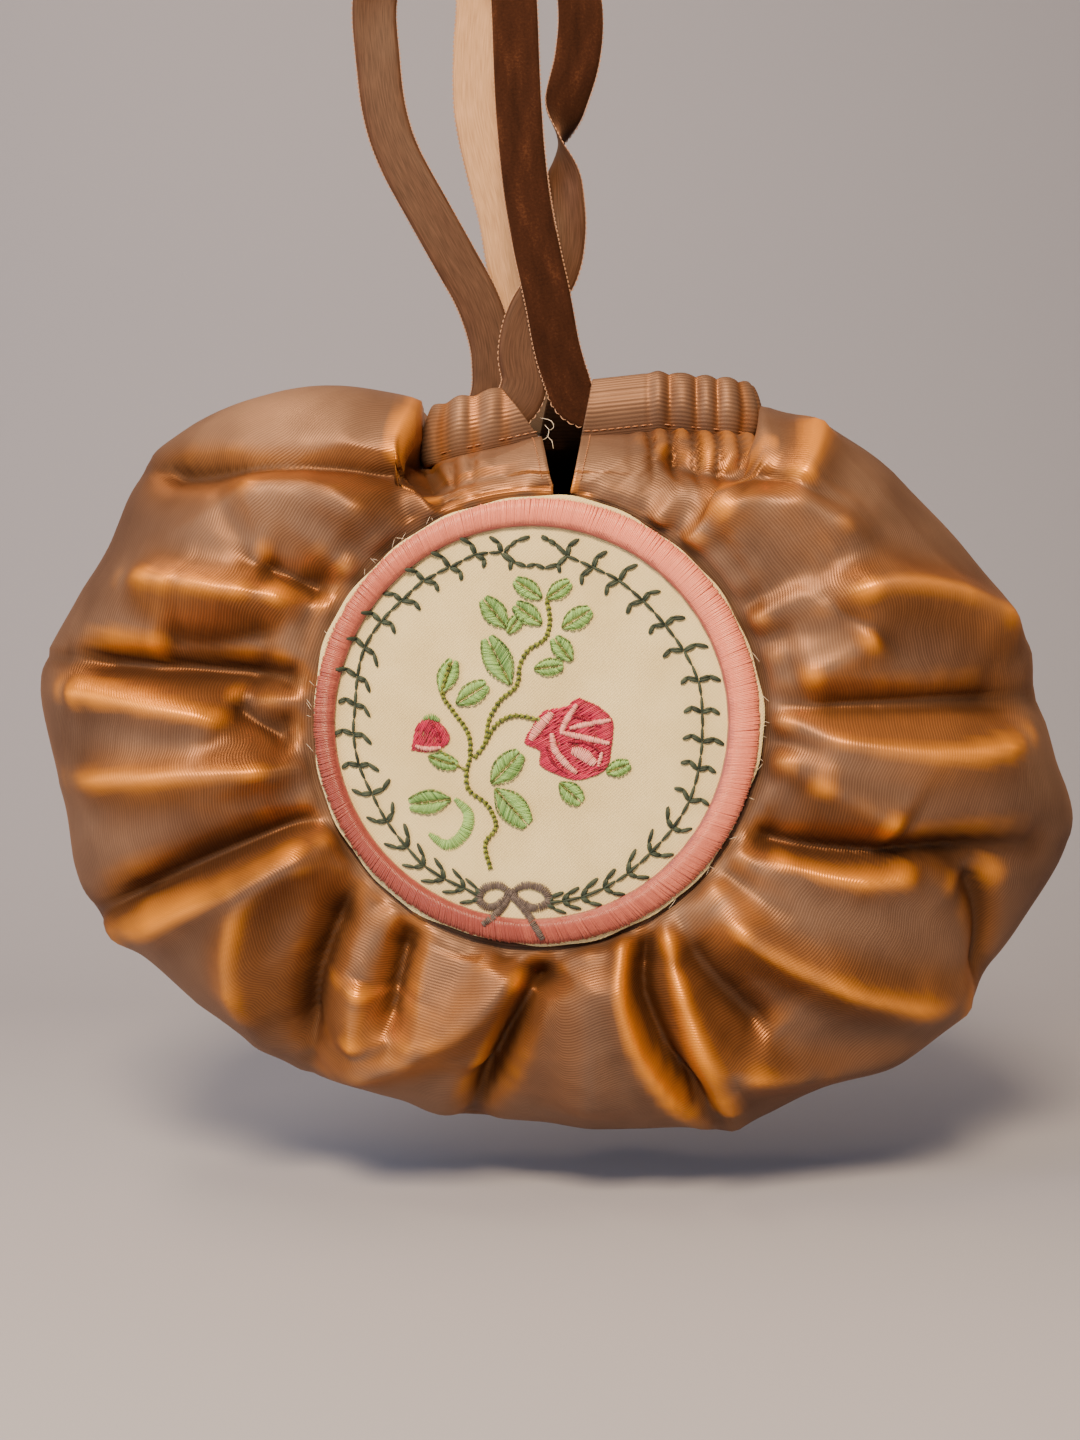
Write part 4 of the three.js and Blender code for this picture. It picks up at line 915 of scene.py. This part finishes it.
class Stitches:
    """Collects stitches of one thread: chains of places with their thickness, arch and tone."""

    def __init__(self):
        self.points, self.edges, self.thick, self.arch, self.tone = [], [], [], [], []
        self.chance = np.random.default_rng(7)

    def chain(self, places, thick, arch, tone):
        start = len(self.points)
        self.points += [tuple(place) for place in places]
        self.edges += [(start + k, start + k + 1) for k in range(len(places) - 1)]
        for values, value in ((self.thick, thick), (self.arch, arch), (self.tone, tone)):
            values += [value] * len(places)

    def stitch(self, a, b, lift, thick=STITCH_THICK, arch=0.35, tone=0.5):
        """One stitch between two places on the round, given as x and z, at a height off its face."""
        jitter = self.chance.normal(0, 0.05, (2, 2))
        places = [(x + shift_x, FACE_Y - lift - border_rise(x, z), z + shift_z)
                  for (x, z), (shift_x, shift_z) in zip((a, b), jitter)]
        self.chain(places, thick, arch, tone + self.chance.normal(0, 0.18))

    def run(self, places, pitch=2.0, thick=0.7, tone=0.5, lift=0.3, twist=0.0):
        """Running stitches along a line; twist lays them as a rope of two threads."""
        line, _ = smooth_path(places, pitch)
        for start, end in zip(line[:-1], line[1:]):
            way = (end - start) / max(np.linalg.norm(end - start), 1e-6)
            side = np.array([-way[1], way[0]]) * twist
            gap = way * 0.1
            self.stitch(start + gap + side, end - gap - side * 0.4, lift, thick, 0.3, tone)
            if twist:
                self.stitch(start + gap - side, end - gap + side * 0.4, lift, thick, 0.3, tone - 0.25)

    def band(self, places, width, lift=0.6, tone=0.5, taper=0.12):
        """Satin stitches side by side across a line, narrower towards its ends."""
        line, _ = smooth_path(places, SATIN_SPACING)
        way = unit(np.gradient(line, axis=0))
        for index, (place, ahead) in enumerate(zip(line, way)):
            share = taper + (1 - 2 * taper) * index / max(len(line) - 1, 1)
            half = np.array([-ahead[1], ahead[0]]) * width / 2 * math.sin(math.pi * share)**0.5
            self.stitch(place - half, place + half, lift, arch=0.25, tone=tone)

    def fill(self, outline, angle, tone=0.5, longest=6.0):
        """Satin stitches side by side across a closed outline, at an angle in degrees."""
        ring, _ = smooth_path(list(outline) + [outline[0]], 0.8)
        along = round_circle(1, math.radians(angle))
        across = np.array([-along[1], along[0]])
        near, far = ring @ along, ring @ across
        for row, level in enumerate(np.arange(far.min() + SATIN_SPACING / 2, far.max(), SATIN_SPACING)):
            cuts = []
            for index in range(len(ring) - 1):
                if (far[index] > level) != (far[index + 1] > level):
                    part = (level - far[index]) / (far[index + 1] - far[index])
                    cuts.append(mix(near[index], near[index + 1], part))
            cuts.sort()
            for start, end in zip(cuts[::2], cuts[1::2]):
                count = max(1, math.ceil((end - start) / longest))
                ends = np.linspace(start, end, count + 1)
                ends[1:-1] += longest * (0.3 if row % 2 else -0.3) * self.chance.random()
                for left, right in zip(ends[:-1], ends[1:]):
                    self.stitch(along * left + across * level, along * right + across * level, 0.2, tone=tone)

    def leaf(self, base, tip, wide, tone):
        """Two halves of slanting satin stitches on either side of a midrib."""
        base, length, along, side = leaf_lines(base, tip)
        for share in np.arange(0.03, 0.97, SATIN_SPACING / length):
            half = length * wide * math.sin(math.pi * share**0.85)**0.7
            for hand in (-1, 1):
                inner = base + along * length * share + side * hand * 0.25
                outer = base + along * length * min(1, share + 0.14) + side * hand * max(half, 0.4)
                self.stitch(inner, outer, 0.2, arch=0.4, tone=tone + 0.14 * hand)

    def made(self, name, tree, look, slot, points=6, sides=5):
        """The finished plain mesh of these stitches."""
        mesh = bpy.data.meshes.new(name)
        mesh.from_pydata(hung(self.points).tolist(), self.edges, [])
        for key, values in (("thick", self.thick), ("arch", self.arch), ("tone", self.tone)):
            mesh.attributes.new(key, "FLOAT", "POINT").data.foreach_set("value", values)
        draft = placed(name + "_draft", mesh)
        work = draft.modifiers.new("threads", "NODES")
        work.node_group = tree
        sockets = {item.name: item.identifier for item in tree.interface.items_tree if item.in_out == "INPUT"}
        for socket, value in (("Points", points), ("Sides", sides), ("Thread", look)):
            work[sockets[socket]] = value
        graph = bpy.context.evaluated_depsgraph_get()
        final = bpy.data.meshes.new_from_object(draft.evaluated_get(graph))
        bpy.data.objects.remove(draft)
        final.name = name
        if not final.materials:
            final.materials.append(look)
        final.polygons.foreach_set("use_smooth", [True] * len(final.polygons))
        return finish_piece(placed(name, final), slot)


def disc(name, shares, turn, far, y, side, look, uv=False):
    """A round wall, its middle filled by one face, from the front for side -1 or the back for side 1."""
    x, z = round_circle(far, turn)
    point = np.stack([x, y + 0 * far, z], -1)
    faces = grid_faces(len(shares), len(turn), closed=True)
    faces.append(list(range(len(turn)))[::-1])
    if side < 0:
        faces = [face[::-1] for face in faces]
    weave = np.stack([x, z], -1).reshape(-1, 2) if uv else None
    piece = mesh_piece(name, point.reshape(-1, 3), faces, [look], weave)
    thicken(piece, ROUND_WALL)
    return piece


def cut_round(look):
    """The embroidered cloth, cut a little unevenly round the border, with its edge slightly lifted."""
    shares = np.concatenate([np.linspace(0.02, 0.9, 14), [0.96, 0.985, 1.0]])[:, None]
    turn = np.linspace(0, 2 * math.pi, 240, endpoint=False)
    uneven = 0.45 * np.sin(5 * turn + 1) + 0.3 * np.sin(9 * turn + 2) + 0.2 * np.sin(23 * turn)
    far = shares * (ROUND_RADIUS - 0.8 + uneven * shares**8)
    lifted = 0.25 * (1 + np.sin(7 * turn + 2)) * shares**20
    sag = 0.06 * np.sin(3 * turn) * (1 - shares**2)
    piece = disc("embroidered_cloth", shares, turn, far, FACE_Y - lifted + sag, -1, look)
    return finish_piece(piece, "cream_linen", "medallion_cloth")


def back_cover(look):
    """The round at the back: taffeta pulled over card, with its edge rolled in."""
    shares = np.array([0.02, 0.2, 0.4, 0.6, 0.75, 0.86, 0.93, 0.965, 0.985, 0.996, 1.0])[:, None]
    turn = np.linspace(0, 2 * math.pi, 180, endpoint=False)
    far = shares * (ROUND_RADIUS - 0.3) + 0 * turn
    pulled = 0.12 * np.sin(17 * turn + 2 * np.sin(3 * turn)) * shares**6
    roll = 1.3 * (1 - np.sqrt(1 - np.clip((shares - 0.96) / 0.04, 0, 1)**2))
    y = -FACE_Y + 1.2 * (1 - shares**2) - roll + pulled
    piece = disc("covered_back_round", shares, turn, far, y, 1, look, uv=True)
    return finish_piece(piece, "taffeta", "back_round")


def satin_border(tree, look):
    """Satin stitches side by side round the border, over the padding."""
    work = Stitches()
    for turn in np.arange(0, 2 * math.pi, STITCH_SPACING / BORDER["middle"]):
        lean = 0.012 + work.chance.normal(0, 0.002)
        outer = BORDER["outer"] + 0.15 + work.chance.normal(0, 0.12)
        start, end = border_inside(turn), round_circle(outer, turn + lean)
        # Painted light: the stitches are lighter towards the upper right and darker towards the lower left.
        tone = 0.36 + 0.5 * math.cos(turn - 0.8) + work.chance.normal(0, 0.06)
        places = []
        for share in (0, 0.05, 0.18, 0.38, 0.62, 0.82, 0.95, 1):
            x, z = mix(start, end, share)
            places.append((x, FACE_Y - 0.12 - padding_rise(share), z))
        work.chain(places, 0.64, 0.0, tone)
    return work.made("satin_border", tree, look, "pink_satin_stitch", points=8)


def leaf_edges(base, tip, wide):
    """The two curved edges of a leaf."""
    base, length, along, side = leaf_lines(base, tip)
    shares = np.linspace(0.02, 1, 7)
    half = length * wide * np.sin(math.pi * np.clip(shares - 0.1, 0, 1)**0.85)**0.7 + 0.2
    return [[base + along * length * share + side * hand * width for share, width in zip(shares, half)]
            for hand in (-1, 1)]


def wreath(work):
    """Pairs of small curved twigs along a dashed ring, open at the top."""
    for hand, nodes in WREATH.items():
        places = np.array(nodes, float)
        lean = np.array(WREATH_LEAN[hand], float)
        work.run(places, 3.4, 0.95, 0.4)
        for index, place in enumerate(places):
            share = index / (len(places) - 1)
            outward = place / np.linalg.norm(place)
            upward = np.array([-outward[1], outward[0]]) * (-1 if hand == "left" else 1)
            for order, side in enumerate((1, -1)):
                turn = math.radians(np.interp(share, lean[:, 0], lean[:, 1 + order]))
                way = outward * side * math.cos(turn) + upward * math.sin(turn)
                length = 5.4 + work.chance.normal(0, 0.4)
                bend = upward * (-1.0 if share < 0.6 else 0.8)
                middle = place + way * length * 0.55 - bend * 0.6
                tip = place + way * length + bend * (1.2 if order else 0.8)
                for offset in (-0.28, 0.28):
                    shift = upward * offset
                    work.stitch(place + way * 0.3 + shift, middle + shift, 0.25, 1.0, 0.25, 0.5)
                    work.stitch(middle + shift, tip + shift * 0.5, 0.25, 0.95, 0.25, 0.5)
    for hook in WREATH_HOOKS:
        for offset in (0, 0.45):
            work.run([(x + offset * 0.3, z + offset) for x, z in hook], 2.2, 0.85, 0.5)


def embroidery(tree):
    """Every thread of the picture, one piece for each colour."""
    green, olive, leafy, edging = Stitches(), Stitches(), Stitches(), Stitches()
    rose, blush, taupe = Stitches(), Stitches(), Stitches()
    wreath(green)
    for stem in STEMS:
        green.run(stem, 1.9, 0.8, 0.5, 0.15)
        olive.run(stem, 1.3, 0.8, 0.6, 0.35, twist=0.55)
    for base_x, base_z, tip_x, tip_z, wide, tone in LEAVES:
        leafy.leaf((base_x, base_z), (tip_x, tip_z), wide, tone)
        for edge in leaf_edges((base_x, base_z), (tip_x, tip_z), wide):
            edging.run(edge, 1.1, 0.5, 0.3, 0.45)
        rib_end = mix(np.array([base_x, base_z]), np.array([tip_x, tip_z]), 0.85)
        olive.run([(base_x, base_z), tuple(rib_end)], 1.8, 0.42, 0.15, 0.6)
    leafy.band(CRESCENT, 3.4, 0.25, 0.75, taper=0.03)
    leafy.band([(-30.5, 0.6), (-28.5, 1.2), (-26.5, 0.2)], 1.6, 0.5, 0.4)
    olive.run([(-26.5, -7.5), (-22, -11.5), (-19, -13.5)], 1.5, 0.6, 0.5, 0.35, twist=0.2)
    rose.fill(BUD, 62, tone=0.45)
    rose.fill(ROSE, 28, tone=0.5)
    for width, places in DARK_BANDS:
        rose.band(places, width, 0.65, 0.05)
    for width, places in PALE_BANDS:
        blush.band(places, width, 0.75, 0.5)
    for width, places in BOW:
        taupe.band(places, width, 0.5, 0.5, taper=0.2)
    for work, (name, dark, light, shine) in zip((green, olive, leafy, edging, rose, blush, taupe), THREADS):
        work.made(name, tree, thread_look(name + "_look", dark, light, shine), "pink_satin_stitch", points=5)


def hem_stitches(tree, look):
    """Running stitches along the foot of both casings and down both sides of the front slit."""
    work = Stitches()
    for side in (-1, 1):
        first, last = casing_ends(side)
        for start in np.arange(first + 1, last - 2, HEM["pitch"]):
            x, y, out_x, out_y = mouth_loop(side, np.array([start, start + HEM["stitch"]]))
            places = np.stack([x + out_x * HEM["out"], y + out_y * HEM["out"], mouth_foot(x) + HEM["up"]], -1)
            work.chain(places, HEM["thick"], 0, 0.5)
    for column in (0.055, 2.93):
        for row in np.arange(0.14, 0.96, 0.034):
            pair = cloth_places(-1, np.array([column, column]), np.array([row, row + 0.025]), front_rise)
            work.chain(pair - (0, 0.2, 0), HEM["thick_at_slit"], 0.1, 0.5)
    return work.made("hem_stitches", tree, look, "taffeta", points=4)


def loose_threads(tree, look):
    """Raw ends: curls at the slit's left corner and short frays round the cut edge."""
    work = Stitches()
    for thick, tone, places in SLIT_CURLS:
        work.chain(places, thick, 0, tone)
    for centre, spread, count in FRAYS:
        for turn in centre + spread * work.chance.normal(0, 1, count):
            x, z = round_circle(ROUND_RADIUS - 0.6, turn)
            length, lean = 0.8 + work.chance.random() * 1.1, work.chance.normal(0, 0.025)
            tip_x, tip_z = round_circle(ROUND_RADIUS - 0.6 + length, turn + lean)
            tip = (tip_x, FACE_Y - 0.6 * work.chance.random(), tip_z)
            work.chain([(x, FACE_Y - 0.2, z), tip], 0.11, 0.2, 0.5)
    return work.made("loose_threads", tree, look, "cream_linen", points=7, sides=4)


def picots(name, route, tree, look):
    """The tiny loops of weft along both edges of a ribbon."""
    line, _, sideways = ribbon_frames(route)
    along = way_along(line)
    work = Stitches()
    for start in np.arange(0, along[-1] - 1.4, 1.25):
        for hand in (-1, 1):
            places = []
            for step, reach in ((0, -0.15), (0.45, 0.4), (1.0, -0.15)):
                edge = line + sideways * hand * (RIBBON["width"] / 2 + reach)
                places.append([np.interp(start + step, along, edge[:, k]) for k in range(3)])
            work.chain(places, 0.34, 0, 0.5)
    return work.made(name, tree, look, "velvet_ribbon", points=4, sides=4)


def main():
    silk = taffeta()
    # Painted shade: the hidden side of the back panel and of the casings is a near-black brown, where the silk
    # lies in shade inside the bag.
    dark = plain("painted_shade_inside", (0.05, 0.022, 0.01), Roughness=0.75, Specular_IOR_Level=0.2)
    cloth_panel("front_cloth", -1, front_rise, "front_panel", [silk, silk])
    cloth_panel("back_cloth", 1, back_rise, "back_panel", [silk, dark])
    casing("left", -1, slant=11.0, flat=5.0, pitch=9.5, sharp=1.6, stations=150, looks=[silk, dark])
    casing("right", 1, slant=3.4, flat=17.0, pitch=6.2, sharp=0.75, stations=260, looks=[silk, dark])
    pile = velvet()
    # Painted shade: the left ribbon's brown satin back is coloured darker still, as that strand lies in shade.
    backs = {"left": ribbon_satin("brown_satin_painted_shade", (0.045, 0.021, 0.012), (0.088, 0.044, 0.026)),
             "right": ribbon_satin("tan_satin", (0.34, 0.20, 0.105), (0.49, 0.30, 0.17))}
    tree = thread_tree()
    edge_look = thread_look("ribbon_edge", (0.26, 0.13, 0.075), (0.60, 0.36, 0.23), 0.5)
    for hand, route in (("left", LEFT_ROUTE), ("right", RIGHT_ROUTE)):
        loops = picots(hand + "_ribbon_edges", route, tree, edge_look)
        ribbon(hand + "_velvet_ribbon", route, hand + "_ribbon", [pile, backs[hand]])
    cut_round(cream_cloth())
    back_cover(silk)
    border_look = thread_look("pink_satin_thread", (0.27, 0.062, 0.052), (0.84, 0.27, 0.18), 0.3)
    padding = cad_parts["medallion_border"].data.materials
    padding.clear()
    padding.append(border_look)
    satin_border(tree, border_look)
    embroidery(tree)
    hem_stitches(tree, thread_look("brown_thread", (0.20, 0.075, 0.03), (0.42, 0.19, 0.09)))
    loose_threads(tree, thread_look("cream_thread", (0.62, 0.54, 0.42), (0.88, 0.82, 0.70)))
    stage()
    camera()
    lights()


# The setting

def stage():
    """A pale sweep: floor, curve and backdrop in one sheet."""
    low, far, wide, bend = -0.385, 0.75, 3.0, 0.45
    profile = [(-1.4, low), (far - bend, low)]
    profile += [(far - bend + bend * math.sin(a), low + bend * (1 - math.cos(a)))
                for a in np.linspace(0, math.pi / 2, 24)[1:]]
    profile.append((far, low + 2.6))
    points = [(x, y, z) for y, z in profile for x in (-wide, wide)]
    mesh = bpy.data.meshes.new("backdrop")
    mesh.from_pydata(points, [], grid_faces(len(profile), 2))
    mesh.polygons.foreach_set("use_smooth", [True] * len(mesh.polygons))
    mesh.materials.append(plain("backdrop_paper", (0.38, 0.41, 0.51), Roughness=0.9))
    placed("backdrop", mesh)


def camera():
    """The photo looks straight at the front round, from in front of it."""
    data = bpy.data.cameras.new("camera")
    data.lens = CAMERA["lens"]
    made = placed("camera", data)
    x = (PHOTO["width"] / 2 - PHOTO["centre_x"]) * PHOTO["mm_per_px"]
    z = (PHOTO["centre_y"] - PHOTO["height"] / 2) * PHOTO["mm_per_px"]
    made.location = hung((x, FACE_Y - CAMERA["distance"], z))
    made.rotation_euler = (math.pi / 2, 0, 0)
    bpy.context.scene.camera = made


def area_light(name, place, size, watts, colour):
    data = bpy.data.lights.new(name, "AREA")
    data.shape = "RECTANGLE"
    data.size, data.size_y = size
    data.energy = watts
    data.color = colour
    made = placed(name, data)
    made.location = place
    made.rotation_euler = Vector(place - hung((0, 0, 0))).to_track_quat("Z", "Y").to_euler()


def lights():
    for light in LIGHTS:
        area_light(*light)
    world = bpy.data.worlds.new("room")
    world.use_nodes = True
    air = world.node_tree.nodes["Background"].inputs
    air["Color"].default_value, air["Strength"].default_value = (0.66, 0.71, 0.85, 1), 0.15
    bpy.context.scene.world = world


main()
